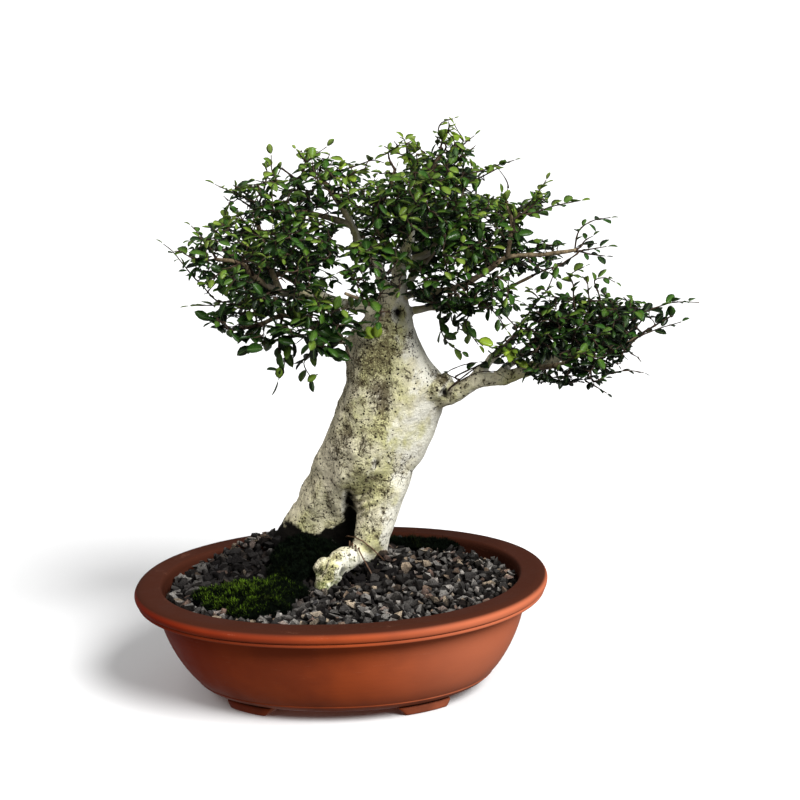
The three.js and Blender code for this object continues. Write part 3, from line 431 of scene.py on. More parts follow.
def eased_step(value, low, high):
    """0 below low, 1 above high, and a smooth rise between them."""
    share = np.clip((np.asarray(value, float) - low) / (high - low), 0.0, 1.0)
    return share * share * (3 - 2 * share)


class Skin:
    """The points and faces gathered for one piece, with a few values for each point."""

    def __init__(self):
        self.points = []
        self.faces = []
        self.slots = []
        self.uvs = []
        self.values = defaultdict(list)
        self.count = 0

    def add(self, points, faces, slot=0, uv=None, **values):
        """Takes in a closed form or a sheet: points in millimetres from the pot, and its faces."""
        points = np.asarray(points, float)
        self.points.append(points)
        self.faces.extend([[i + self.count for i in face] for face in faces])
        self.slots.extend([slot] * len(faces))
        self.uvs.append(np.zeros((len(points), 2)) if uv is None else np.asarray(uv, float))
        for key in ("tone", "age", "dark"):
            self.values[key].append(np.broadcast_to(values.get(key, 0.0), (len(points),)).astype(float))
        self.count += len(points)

    def piece(self, name, materials, smooth=True):
        """Makes the piece out of what was gathered."""
        points = from_pot(np.concatenate(self.points))
        mesh = bpy.data.meshes.new(name)
        mesh.from_pydata(points.tolist(), [], self.faces)
        for material in materials:
            mesh.materials.append(material)
        mesh.polygons.foreach_set("material_index", self.slots)
        mesh.polygons.foreach_set("use_smooth", [smooth] * len(mesh.polygons))
        corners = np.empty(len(mesh.loops), int)
        mesh.loops.foreach_get("vertex_index", corners)
        layer = mesh.uv_layers.new(name="blade")
        layer.data.foreach_set("uv", np.concatenate(self.uvs)[corners].ravel())
        for key, parts in self.values.items():
            attribute = mesh.attributes.new(key, "FLOAT", "POINT")
            attribute.data.foreach_set("value", np.concatenate(parts))
        mesh.validate()
        return linked(name, mesh)


def linked(name, data):
    """A new object with its data, in the scene."""
    thing = bpy.data.objects.new(name, data)
    bpy.context.scene.collection.objects.link(thing)
    return thing


def evaluated(piece, name):
    """The piece with its modifiers applied, as a new mesh of its own."""
    depsgraph = bpy.context.evaluated_depsgraph_get()
    mesh = bpy.data.meshes.new_from_object(piece.evaluated_get(depsgraph))
    piece.modifiers.clear()
    piece.data = mesh
    mesh.name = name
    return piece


def settle(piece, slot, *nodes):
    """The piece rides on the one body and stands for the nodes that it finishes; its slot is not used."""
    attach(piece, "root")
    if nodes:
        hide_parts(*nodes)


class Finish:
    """A material under way: its calls add nodes to it, and most give back the new node's output."""

    def __init__(self, name, roughness, **constants):
        self.material = bpy.data.materials.new(name)
        self.material.use_nodes = True
        self.nodes = self.material.node_tree.nodes
        self.links = self.material.node_tree.links
        self.shader = self.nodes["Principled BSDF"]
        self.shader.inputs["Roughness"].default_value = roughness
        for key, value in constants.items():
            self.shader.inputs[key.replace("_", " ")].default_value = value
        self.place = self.add("TexCoord").outputs["Object"]
        self.colour = None

    def add(self, kind, inputs=None, **settings):
        """A new node with its settings made and its inputs set or linked."""
        node = self.nodes.new("ShaderNode" + kind)
        for key, value in settings.items():
            setattr(node, key, value)
        for key, value in (inputs or {}).items():
            self.put(node.inputs[key], value)
        return node

    def put(self, socket, value):
        """Links a socket's source to it, or sets its value."""
        if isinstance(value, bpy.types.NodeSocket):
            self.links.new(value, socket)
        else:
            socket.default_value = value

    def stretched(self, x, y, z):
        """The place on the piece, stretched along the axes."""
        return self.add("Mapping", {"Vector": self.place, "Scale": (x, y, z)}).outputs["Vector"]

    def warped(self, reach):
        """The place on the piece, shifted about by a cloudy amount, so that lines drawn by it wander."""
        shift = self.add("TexNoise", {"Vector": self.place, "Scale": 60.0, "Detail": 3.0}).outputs["Color"]
        node = self.add("VectorMath", operation="MULTIPLY_ADD")
        self.put(node.inputs[0], shift)
        node.inputs[1].default_value = (reach, reach, reach)
        self.put(node.inputs[2], self.place)
        return node.outputs["Vector"]

    def noise(self, scale, detail=3.0, roughness=0.55, place=None):
        """A cloudy value from 0 to 1."""
        inputs = {"Vector": place or self.place, "Scale": scale, "Detail": detail, "Roughness": roughness}
        return self.add("TexNoise", inputs).outputs["Fac"]

    def cells(self, scale, feature="F1", output="Distance", place=None):
        """The distance to the nearest of many scattered points, or that point's own colour."""
        inputs = {"Vector": place or self.place, "Scale": scale}
        return self.add("TexVoronoi", inputs, feature=feature).outputs[output]

    def range(self, source, low, high, to_low=0.0, to_high=1.0):
        """The source's stretch from low to high, spread over another range and held at its ends."""
        inputs = {"Value": source, "From Min": low, "From Max": high, "To Min": to_low, "To Max": to_high}
        return self.add("MapRange", inputs, interpolation_type="SMOOTHSTEP").outputs["Result"]

    def axis(self, name, source=None):
        """A vector's X, Y or Z; without a source, that of the place on the piece."""
        return self.add("SeparateXYZ", {"Vector": source or self.place}).outputs[name]

    def normal(self):
        """The way that the surface faces."""
        return self.add("NewGeometry").outputs["Normal"]

    def sum_up(self, operation, first, second):
        """Two values put together."""
        node = self.add("Math", operation=operation)
        self.put(node.inputs[0], first)
        self.put(node.inputs[1], second)
        return node.outputs["Value"]

    def times(self, first, second):
        """Two values multiplied."""
        return self.sum_up("MULTIPLY", first, second)

    def plus(self, first, second):
        """Two values added."""
        return self.sum_up("ADD", first, second)

    def minus(self, first, second):
        """The second value taken from the first."""
        return self.sum_up("SUBTRACT", first, second)

    def larger(self, first, second):
        """The larger of two values."""
        return self.sum_up("MAXIMUM", first, second)

    def blend(self, share, first, second, how="MIX"):
        """Two colours mixed by a share."""
        node = self.add("Mix", data_type="RGBA", blend_type=how)
        self.put(node.inputs[0], share)
        self.put(node.inputs[6], first if isinstance(first, bpy.types.NodeSocket) else (*first, 1.0))
        self.put(node.inputs[7], second if isinstance(second, bpy.types.NodeSocket) else (*second, 1.0))
        return node.outputs[2]

    def cover(self, share, colour, how="MIX"):
        """Lays a share of another colour over the one so far."""
        self.colour = self.blend(share, self.colour, colour, how)

    def ramp(self, source, stops):
        """The colours of the stops, by the source's value."""
        node = self.add("ValToRGB", {"Fac": source})
        elements = node.color_ramp.elements
        while len(elements) < len(stops):
            elements.new(0.5)
        for element, (position, colour) in zip(elements, stops):
            element.position = position
            element.color = (*colour, 1.0)
        return node.outputs["Color"]

    def value(self, name):
        """A value that the mesh holds for each point."""
        return self.add("Attribute", attribute_name=name).outputs["Fac"]

    def bump(self, height, distance):
        """Raises the surface by a height from 0 to 1, which stands for a distance in metres."""
        inputs = {"Height": height, "Distance": distance}
        normal = self.shader.inputs["Normal"]
        if normal.is_linked:
            inputs["Normal"] = normal.links[0].from_socket
        self.links.new(self.add("Bump", inputs).outputs["Normal"], normal)

    def done(self, roughness=None):
        """The finished material."""
        self.links.new(self.colour, self.shader.inputs["Base Color"])
        if roughness is not None:
            self.links.new(roughness, self.shader.inputs["Roughness"])
        return self.material


def smooth_route(points, pitch):
    """A smooth curve through the points (centripetal Catmull-Rom), as points a pitch apart."""
    points = np.asarray(points, float)
    ends = np.vstack([2 * points[0] - points[1], points, 2 * points[-1] - points[-2]])
    route = [points[0]]
    for i in range(len(points) - 1):
        p0, p1, p2, p3 = ends[i:i + 4]
        t1 = np.linalg.norm(p1 - p0) ** 0.5
        t2 = t1 + np.linalg.norm(p2 - p1) ** 0.5
        t3 = t2 + np.linalg.norm(p3 - p2) ** 0.5
        steps = max(2, round(np.linalg.norm(p2 - p1) / pitch))
        for t in np.linspace(t1, t2, steps + 1)[1:]:
            a1 = mix(p0, p1, t / t1)
            a2 = mix(p1, p2, (t - t1) / (t2 - t1))
            a3 = mix(p2, p3, (t - t2) / (t3 - t2))
            b1 = mix(a1, a2, t / t2)
            b2 = mix(a2, a3, (t - t1) / (t3 - t1))
            route.append(mix(b1, b2, (t - t1) / (t2 - t1)))
    return np.array(route)


def bowed_route(start, middle, end, steps):
    """A curve that leaves start towards middle and ends at end."""
    share = np.linspace(0, 1, steps + 1)[:, None]
    return (1 - share) ** 2 * start + 2 * share * (1 - share) * middle + share**2 * end


def directions(route):
    """The way that a route runs at each of its points."""
    return unit(np.gradient(route, axis=0))


def ring_faces(rings, sides):
    """The faces of a closed form made of rings of points, one after the other, with flat ends."""
    faces = []
    last = (rings - 1) * sides
    for low in range(0, last, sides):
        high = low + sides
        for i in range(sides):
            j = (i + 1) % sides
            faces.append((low + i, low + j, high + j, high + i))
    faces.append(tuple(range(sides - 1, -1, -1)))
    faces.append(tuple(range(last, last + sides)))
    return faces


def tube(route, radii, sides, ripple=0.0):
    """Points and faces of a closed tube along a route; ripple makes its skin uneven, as a share."""
    route = np.asarray(route, float)
    ways = directions(route)
    across = unit(np.cross(ways[0], (0.31, 0.52, 0.79)))
    angles = np.linspace(0, 2 * math.pi, sides, endpoint=False)
    rings = []
    for place, way, radius in zip(route, ways, radii):
        across = unit(across - way * np.dot(across, way))
        other = np.cross(way, across)
        spokes = np.outer(np.cos(angles), across) + np.outer(np.sin(angles), other)
        reach = np.full(sides, radius)
        if ripple:
            bumps = [noise.noise(Vector(place / 7 + spoke * 0.8)) for spoke in spokes]
            reach = radius * (1 + ripple * np.array(bumps))
        rings.append(place + spokes * reach[:, None])
    return np.concatenate(rings), ring_faces(len(rings), sides)


def hermite(knots, values, at):
    """Values between knots on a smooth curve."""
    slopes = np.gradient(values, knots, axis=0)
    index = np.clip(np.searchsorted(knots, at) - 1, 0, len(knots) - 2)
    width = (knots[index + 1] - knots[index])[:, None]
    t = (at[:, None] - knots[index][:, None]) / width
    return ((2 * t**3 - 3 * t**2 + 1) * values[index] + (t**3 - 2 * t**2 + t) * width * slopes[index]
            + (3 * t**2 - 2 * t**3) * values[index + 1] + (t**3 - t**2) * width * slopes[index + 1])


def ring_stack(rings, sides=64, pitch=3.0):
    """Points and faces of thick wood through level rings, with shallow flutes."""
    rings = np.array(rings, float)
    levels = np.linspace(rings[0, 2], rings[-1, 2], max(4, round((rings[-1, 2] - rings[0, 2]) / pitch)))
    x, y, radius_x, radius_y = hermite(rings[:, 2], rings[:, [0, 1, 3, 4]], levels).T
    angles = np.linspace(0, 2 * math.pi, sides, endpoint=False)
    points = []
    for i, z in enumerate(levels):
        flute = 1 + 0.045 * np.sin(3 * angles + z / 30) + 0.03 * np.sin(5 * angles - z / 22)
        points.append(np.stack([x[i] + radius_x[i] * flute * np.cos(angles),
                                y[i] + radius_y[i] * flute * np.sin(angles), np.full(sides, z)], axis=1))
    return np.concatenate(points), ring_faces(len(points), sides)


def oval_ring(offset, height, angles, half_length, half_depth):
    """The pot's oval at an offset inside its rim's outline, at a height."""
    across, along = np.cos(angles), np.sin(angles)
    power = 2 / OVAL_POWER
    x = np.sign(across) * np.abs(across) ** power * max(0.0, half_length - offset)
    y = np.sign(along) * np.abs(along) ** power * max(0.0, half_depth - offset)
    return np.stack([x, y, np.broadcast_to(height, x.shape)], axis=1)


def body_offset(z):
    """How far the bulging wall lies inside the rim's outline at a height."""
    share = np.clip((BODY_TOP - z) / (BODY_TOP - FOOT_HEIGHT), 0.0, 1.0)
    return BODY_TOP_OFFSET + BODY_BULGE * (1 - (1 - share**BODY_BULGE_POWER) ** (1 / BODY_BULGE_POWER))


def eased(corners, steps=5):
    """An outline of [offset, height, radius] corners, each rounded by its radius."""
    corners = np.array(corners, float)
    outline = []
    for i, (offset, height, radius) in enumerate(corners):
        here = np.array([offset, height])
        if radius == 0 or i in (0, len(corners) - 1):
            outline.append(here)
            continue
        back = corners[i - 1, :2] - here
        ahead = corners[i + 1, :2] - here
        start = here + back * min(0.5, radius / np.linalg.norm(back))
        end = here + ahead * min(0.5, radius / np.linalg.norm(ahead))
        outline.extend(bowed_route(start, here, end, steps))
    return np.array(outline)


def pot_outline(half_length, height):
    """The pot's wall cut through: from the middle below, up outside, over the rim and down inside."""
    foot_offset = float(body_offset(FOOT_HEIGHT))
    wall = [(float(body_offset(z)), z, 0.0) for z in np.linspace(BAND_TOP + 2, BODY_TOP - 1.5, 26)]
    inner = [(float(body_offset(z)) + WALL, z, 0.0) for z in np.linspace(BODY_TOP, FLOOR_TOP + 4, 16)]
    return eased([
        (half_length - 6, FOOT_HEIGHT + 1.5, 0),
        (foot_offset + 4.5, FOOT_HEIGHT + 1.5, 1),
        (foot_offset + 3.5, FOOT_HEIGHT, 0.6),
        (foot_offset - 0.4, FOOT_HEIGHT, 1.2),
        (float(body_offset(BAND_TOP - 4)) - BAND_PROUD, BAND_TOP - 4, 0),
        (float(body_offset(BAND_TOP)) - BAND_PROUD, BAND_TOP, 0.8),
        (float(body_offset(BAND_TOP + 1)) + 0.3, BAND_TOP + 0.8, 0.5),
        *wall,
        (BODY_TOP_OFFSET, BODY_TOP, 0.8),
        (12.9, BODY_TOP + 0.5, 1.2),
        (11.9, height - 15.6, 1.4),
        (4.6, height - 14.8, 1.0),
        (2.5, height - 13.8, 1.0),
        (2.3, height - 11.4, 0.7),
        (3.2, height - 10.8, 0.3),
        (1.2, height - 10.0, 0.8),
        (0.3, height - 8.2, 1.2),
        (0.0, height - 5.5, 2.0),
        (2.2, height - 1.4, 2.5),
        (7.0, height + 0.0, 2.5),
        (RIM_INNER_OFFSET - 1.0, height - 0.2, 1.8),
        (RIM_INNER_OFFSET + 0.6, height - 3.5, 1.5),
        *inner,
        (float(body_offset(FLOOR_TOP)) + WALL + 5, FLOOR_TOP, 4),
        (half_length - 6, FLOOR_TOP, 0),
    ])


def add_turned(skin, outline, half_length, half_depth):
    """An outline turned round the pot's oval, flat across its middle at both ends."""
    angles = np.linspace(0, 2 * math.pi, OVAL_SEGMENTS, endpoint=False)
    rings = [oval_ring(offset, z, angles, half_length, half_depth) for offset, z in outline]
    skin.add(np.concatenate(rings), ring_faces(len(rings), OVAL_SEGMENTS))


def add_foot(skin, sign_x, sign_y, half_length, half_depth):
    """A low bracket foot under the pot's wall, its ends slanting in towards the ground."""
    outer = float(body_offset(FOOT_HEIGHT)) - 1.5
    section = eased([
        (outer + FOOT_DEPTH, FOOT_HEIGHT + 2, 0), (outer + FOOT_DEPTH, 0, 1.6), (outer, 0, 1.8),
        (outer - 2.0, FOOT_HEIGHT - 0.8, 1.4), (outer + 2.5, FOOT_HEIGHT + 2, 0),
    ], 4)
    shares = np.concatenate([[0.0, 0.02], np.linspace(0.05, 0.95, 11), [0.98, 1.0]])
    middle = section.mean(axis=0)
    points = []
    for share in shares:
        shrink = 1 - 0.14 * (1 - min(1.0, min(share, 1 - share) / 0.05)) ** 2
        for offset, z in middle + (section - middle) * shrink:
            up = z / (FOOT_HEIGHT + 2)
            slant = 5 * up * share - 2 * up * (1 - share)
            angle = np.array([math.radians(mix(*FOOT_ANGLES, share) + slant)])
            x, y, _ = oval_ring(offset, z, angle, half_length, half_depth)[0]
            points.append((sign_x * x, sign_y * y, z))
    faces = ring_faces(len(shares), len(section))
    if sign_x * sign_y > 0:
        faces = [face[::-1] for face in faces]
    skin.add(points, faces)


def drill_drains(pot):
    """Cuts the two drainage holes through the pot's floor."""
    bits = Skin()
    for x, y in DRAIN_PLACES:
        bits.add(*tube([(x, y, -2), (x, y, 8), (x, y, FLOOR_TOP + 6)], [DRAIN_RADIUS] * 3, 40))
    bit = bits.piece("drain_bits", [])
    cut = pot.modifiers.new("Drains", "BOOLEAN")
    cut.operation = "DIFFERENCE"
    cut.solver = "EXACT"
    cut.object = bit
    evaluated(pot, pot.name)
    bpy.data.objects.remove(bit)


def heap_rise(x, y):
    """How far the ground rises round the trunk's feet above its level at the rim."""
    rise = 0.0
    for middle_x, middle_y, height, spread_x, spread_y in HEAPS:
        rise = rise + height * np.exp(-((x - middle_x) / spread_x) ** 2 - ((y - middle_y) / spread_y) ** 2)
    return rise


def moss_share(patch, x, y):
    """How deep a place lies in a moss patch: 1 in its middle, 0 at its ragged edge."""
    angle = np.arctan2(y - patch["y"], x - patch["x"])
    ragged = 1 + 0.12 * np.sin(3 * angle + patch["x"]) + 0.08 * np.sin(7 * angle)
    reach = np.hypot((x - patch["x"]) / patch["radius_x"], (y - patch["y"]) / patch["radius_y"]) / ragged
    return np.maximum(0.0, 1 - reach)


def in_opening(x, y, offset, half_length, half_depth):
    """True where a place lies inside the pot's oval at an offset from its rim's outline."""
    across = np.abs(x) / (half_length - offset)
    along = np.abs(y) / (half_depth - offset)
    return across**OVAL_POWER + along**OVAL_POWER < 1


def stone_forms(draw, count):
    """A few crushed stones about one unit across, each the hull of scattered points."""
    forms = []
    for _ in range(count):
        corners = unit(draw.normal(size=(11, 3))) * draw.uniform(0.75, 1.08, (11, 1)) * (0.60, 0.46, 0.36)
        hull = bmesh.new()
        for corner in corners:
            hull.verts.new(corner)
        made = bmesh.ops.convex_hull(hull, input=hull.verts)
        inside = [item for item in made["geom_interior"] if isinstance(item, bmesh.types.BMVert)]
        bmesh.ops.delete(hull, geom=inside, context="VERTS")
        hull.verts.index_update()
        faces = [[vertex.index for vertex in face.verts] for face in hull.faces]
        forms.append((np.array([vertex.co for vertex in hull.verts]), faces))
        hull.free()
    return forms


def turn_matrices(draw, count):
    """Evenly scattered turns in space."""
    q = unit(draw.normal(size=(count, 4)))
    w, x, y, z = q.T
    rows = [1 - 2 * (y * y + z * z), 2 * (x * y - z * w), 2 * (x * z + y * w),
            2 * (x * y + z * w), 1 - 2 * (x * x + z * z), 2 * (y * z - x * w),
            2 * (x * z - y * w), 2 * (y * z + x * w), 1 - 2 * (x * x + y * y)]
    return np.stack(rows, axis=1).reshape(count, 3, 3)


def under_wood(x, y):
    """True where a place on the ground lies under one of the trunk's feet."""
    feet = [LEFT_LEG[1], RIGHT_LEG[1], TRUNK[0]]
    return sum((((x - cx) / rx) ** 2 + ((y - cy) / ry) ** 2 < 0.72) for cx, cy, _, rx, ry in feet) > 0


def gravel_places(settings, pot, draw):
    """Where the stones lie, layer by layer, with the size of each."""
    places = []
    half_length, half_depth = pot.length / 2 / MM, pot.depth / 2 / MM
    for depth, pitch in ((-1.6, settings.stone_pitch / MM), (-5.4, settings.stone_pitch / MM * 0.95)):
        rows = np.arange(-half_depth, half_depth, pitch * 0.866)
        for row, y in enumerate(rows):
            for x in np.arange(-half_length + (row % 2) * pitch / 2, half_length, pitch):
                px, py = np.array([x, y]) + draw.uniform(-0.34, 0.34, 2) * pitch
                size = mix(settings.stone_small, settings.stone_large, draw.random() ** 1.8) / MM
                if not in_opening(px, py, RIM_INNER_OFFSET + 0.7 * size, half_length, half_depth):
                    continue
                covered = any(moss_share(patch, px, py) > 0.1 for patch in MOSS.values())
                if under_wood(px, py) or (covered and depth > -3):
                    continue
                z = GRAVEL_LEVEL + heap_rise(px, py) + depth + draw.uniform(-1.3, 1.3)
                # Stones of the lower layer are given 0.99 of darkness: painted shade in the gaps between
                # the upper stones.
                places.append((px, py, z, size, 0.0 if depth > -3 else 0.99))
    places.extend((*crust, 0.0) for crust in CRUSTS)
    return places


def make_gravel(settings, pot):
    """The top dressing: a bed of crushed stones, laid two deep."""
    draw = np.random.default_rng(settings.seed)
    forms = stone_forms(draw, 26)
    places = gravel_places(settings, pot, draw)
    turns = turn_matrices(draw, len(places))
    skin = Skin()
    for (x, y, z, size, deep), turn in zip(places, turns):
        points, faces = forms[int(draw.integers(len(forms)))]
        placed = points @ turn.T * size
        # Each stone's lower part is painted dark: painted shade under it.
        low = np.clip(0.78 - placed[:, 2] / (0.40 * size), 0, 1)
        # Soil and painted shade darken the stones in the places listed in DARK_GROUND.
        soil_and_shade = max(share * math.exp(-((x - mid_x) / wide) ** 4 - ((y - mid_y) / far) ** 4)
                     for mid_x, mid_y, wide, far, share in DARK_GROUND) * (1 - 0.45 * draw.random() ** 2)
        soil_and_shade = min(soil_and_shade, 1.0)
        skin.add(placed + (x, y, z), faces, tone=draw.random(), dark=np.maximum(max(deep, soil_and_shade), low))
    settle(skin.piece("gravel_stones", [stone_finish()], smooth=False), "gravel", "gravel")


def make_moss(name, patch, settings, material):
    """One patch of moss: a low cushion with short leafy tufts standing out of it."""
    draw = np.random.default_rng(settings.seed + len(name))
    skin = Skin()

    def height(x, y):
        share = moss_share(patch, x, y)
        lumps = 2.4 * np.sin(x * 0.52 + 1.3 * np.sin(y * 0.31)) * np.sin(y * 0.61)
        return (GRAVEL_LEVEL + heap_rise(x, y) - 3.6 + np.where(share > 0, 2.2, 0)
                + patch["height"] * np.sqrt(share) * 1.05 + lumps * np.sqrt(share))

    columns, rows = 56, 40
    xs = patch["x"] + np.linspace(-1.25, 1.25, columns) * patch["radius_x"]
    ys = patch["y"] + np.linspace(-1.25, 1.25, rows) * patch["radius_y"]
    grid_x, grid_y = np.meshgrid(xs, ys)
    inside = moss_share(patch, grid_x, grid_y) > 0
    points = np.stack([grid_x.ravel(), grid_y.ravel(), height(grid_x, grid_y).ravel()], axis=1)
    faces = []
    for row in range(rows - 1):
        for column in range(columns - 1):
            if inside[row:row + 2, column:column + 2].all():
                first = row * columns + column
                faces.append((first, first + 1, first + columns + 1, first + columns))
    skin.add(points, faces, tone=0.0)
    count = patch["tufts"]
    x = patch["x"] + draw.uniform(-1.25, 1.25, count) * patch["radius_x"]
    y = patch["y"] + draw.uniform(-1.25, 1.25, count) * patch["radius_y"]
    kept = moss_share(patch, x, y) > 0.015
    for px, py in zip(x[kept], y[kept]):
        base = np.array([px, py, float(height(px, py)) - 0.3])
        clump = noise.noise(Vector((px / 7, py / 7, patch["x"])))
        fringe_and_shade = 0.6 + 0.4 * eased_step(moss_share(patch, px, py), 0.0, 0.3)
        # Tufts grow darker towards each patch's right side: painted shade, on the front patch the root's
        # shadow.
        fringe_and_shade *= 1.1 - 0.5 * eased_step(px - patch["x"], -8, 30)
        tone = float(np.clip((1.4 * clump + 1.2 * draw.random() ** 4) * fringe_and_shade, 0, 1))
        angle = draw.uniform(0, 2 * math.pi)
        for turn in range(4):
            way = angle + turn * math.pi / 2 + draw.uniform(-0.4, 0.4)
            lean = draw.uniform(0.3, 1.8)
            reach = draw.uniform(2.0, 5.8) * (1 + 0.8 * clump)
            out = np.array([math.cos(way) * lean, math.sin(way) * lean, 1.0])
            tip = base + out / np.linalg.norm(out) * reach
            side = np.array([-math.sin(way), math.cos(way), 0]) * 0.6
            skin.add([base - side, base + side, tip], [(0, 1, 2)], tone=[0.0, 0.0, tone])
    slot = "moss" if name == "moss_front" else "moss_shade"
    settle(skin.piece(name + "_tufts", [material]), slot, name)


def make_wire(settings):
    """The brown wire round the foot of the right leg, its end twisted and let down to the gravel."""
    x, y, _, radius_x, radius_y = RIGHT_LEG[3]
    route = []
    for angle in np.linspace(185, 318, 44):
        turn = math.radians(angle)
        height = float(np.interp(angle, *np.array(WIRE_BOW, float).T))
        route.append((x + (radius_x + 1.0) * math.cos(turn), y + (radius_y + 1.0) * math.sin(turn), height))
    radius = settings.wire_radius / MM
    skin = Skin()
    skin.add(*tube(route, [radius] * len(route), 12))
    twist = []
    for share in np.linspace(0, 1, 46):
        middle = mix(np.array(WIRE_TWIST[0], float), np.array(WIRE_TWIST[1], float), share)
        turn = share * 3.2 * 2 * math.pi
        twist.append(middle + 1.9 * np.array([0.3 * math.cos(turn), -math.sin(turn), math.cos(turn)]))
    twist.extend(smooth_route([twist[-1], *WIRE_END], 2)[1:])
    skin.add(*tube(twist, [radius] * len(twist), 10))
    settle(skin.piece("tie_wire_bow", [wire_finish(settings)]), "wire", "tie_wire")


def branch_route(name, pitch=3.0):
    """A branch's smooth route and its radius at each point of it."""
    start, end, points = BRANCHES[name]
    route = smooth_route(points, pitch)
    along = np.concatenate([[0], np.cumsum(np.linalg.norm(np.diff(route, axis=0), axis=1))])
    return route, mix(start, end, (along / along[-1]) ** 0.8)


def thick_wood(wood):
    """The trunk, its legs and roots and the foot of each branch, grown together into one skin."""
    skin = Skin()
    for rings in (LEFT_LEG, RIGHT_LEG, TRUNK, ROOT_PLATE):
        skin.add(*ring_stack(rings))
    start, end, points = SURFACE_ROOT
    route = smooth_route(points, 2)
    share = np.linspace(0, 1, len(route))
    bulge = 1 + SURFACE_ROOT_BULGE * np.sin(math.pi * share)
    skin.add(*tube(route, mix(start, end, share) * bulge, 28, 0.16))
    for x, y, z, radius in KNOBS:
        turns = np.linspace(0.12, math.pi - 0.12, 9)
        route = np.stack([np.full(9, x), np.full(9, y), z - radius * np.cos(turns)], axis=1)
        skin.add(*tube(route, radius * np.sin(turns), 20, 0.16))
    for name in BRANCHES:
        route, radii = branch_route(name)
        kept = max(5, int(np.sum(radii > THIN_WOOD)))
        skin.add(*tube(route[:kept], radii[:kept] * 1.03, 22, 0.14))
    piece = skin.piece("tree_wood", [])
    remesh = piece.modifiers.new("Grown together", "REMESH")
    remesh.mode = "VOXEL"
    remesh.voxel_size = wood.skin_detail
    smooth = piece.modifiers.new("Softened", "SMOOTH")
    smooth.factor = 0.5
    smooth.iterations = 5
    return evaluated(piece, "tree_wood")


def cloud(places, size, seed=0.0):
    """A smooth random value from about -1 to 1 at each place; size is the width of its lumps."""
    shifted = places / size + seed
    return np.array([noise.noise(Vector(place)) for place in shifted])


def carve_wood(piece):
    """Gives the smooth wood its lumps, flutes, wrinkles, hollows and scars, and its colour values, with
    painted shade in its hollows and on its left foot and fewer mottles on its right side as painted light.
    """
    mesh = piece.data
    count = len(mesh.vertices)
    places, normals = np.empty(count * 3), np.empty(count * 3)
    mesh.vertices.foreach_get("co", places)
    mesh.vertices.foreach_get("normal", normals)
    places = (places.reshape(-1, 3) - POT_MIDDLE) / MM
    normals = normals.reshape(-1, 3)
    brown = branch_share(places)
    trunk = 1 - brown
    push = 1.5 * cloud(places, 17) + 0.8 * cloud(places, 7, 5.0) + 0.35 * cloud(places, 3, 9.0)
    push += 0.6 * cloud(places * (1, 1, 0.22), 8, 31.0) * eased_step(places[:, 2], 100, 150)
    bend = np.exp(-(((places[:, 2] - 157) / 11) ** 2) - ((places[:, 0] - 19) / 12) ** 2)
    push += bend * 1.5 * np.sin((places[:, 2] - 0.55 * places[:, 0] + 3 * cloud(places, 11, 2.0)) / 1.1)
    push *= (0.3 + 0.7 * trunk) * (1 - 0.6 * eased_step(normals[:, 0], 0.2, 0.7))
    dark = np.zeros(count)
    for x, y, z, wide, tall, depth in WOOD_MARKS:
        mark = np.exp(-(((places - (x, y, z)) / (wide, 16, tall)) ** 2).sum(axis=1))
        push += depth * mark
        # Hollows pushed deep are painted dark: painted shade in the hollows, the cleft between the legs and
        # the root's cracks.
        if depth < 0:
            shade = np.clip(1.9 * mark**1.6 - 0.15, 0, 1)
            dark = np.maximum(dark, shade * np.clip((-depth - 1.2) / 1.6, 0, 1))
    # The left foot below the line is painted black: wet moss and soil, and painted shade between the legs.
    edge = np.interp(places[:, 0], *np.array(WET_AND_SHADE_LINE, float).T)
    edge += 5 * cloud(places, 9, 3.0) + 4 * cloud(places, 3.2, 8.0)
    behind = eased_step(places[:, 1], 24, 32) * eased_step(-places[:, 0], -9, -5)
    dark = np.maximum(dark, behind * eased_step(edge - places[:, 2], -1.2, 1.2))
    places = places + normals * push[:, None]
    mesh.vertices.foreach_set("co", from_pot(places).ravel())
    low = 1 - eased_step(places[:, 2] + 6 * cloud(places, 13, 4.0), 98, 118)
    # Faces turned to the right get fewer mottles: painted light on the trunk's bright right side.
    right = eased_step(normals[:, 0] + 0.4 * cloud(places, 16, 21.0), 0.25, 0.85)
    spotted = 0.52 + 0.24 * cloud(places, 15, 12.0) - 0.38 * right
    for x, z, wide, tall, strength in MOTTLES:
        away = ((places[:, 0] - x) / wide) ** 2 + ((places[:, 2] - z) / tall) ** 2
        spotted += strength * np.exp(-away) * eased_step(-normals[:, 1], -0.2, 0.3)
    spotted = np.clip(spotted, 0, 1.2)
    for key, values in (("tone", low), ("age", brown), ("dark", dark), ("spotted", spotted)):
        attribute = mesh.attributes.new(key, "FLOAT", "POINT")
        attribute.data.foreach_set("value", values)
    mesh.polygons.foreach_set("use_smooth", [True] * len(mesh.polygons))
    mesh.update()


def branch_share(places):
    """How brown and young the wood is at each place: 1 on the thin branches, 0 on the trunk."""
    routes, radii = zip(*(branch_route(name) for name in BRANCHES))
    route, radius = np.concatenate(routes), np.concatenate(radii)
    away = np.full(len(places), 1e9)
    thin = np.zeros(len(places))
    for place, size in zip(route, radius):
        gap = np.linalg.norm(places - place, axis=1) / size
        nearer = gap < away
        away[nearer] = gap[nearer]
        thin[nearer] = 1 - eased_step(size, 2.1, 4.2)
    return thin * (1 - eased_step(away, 1.5, 2.6))


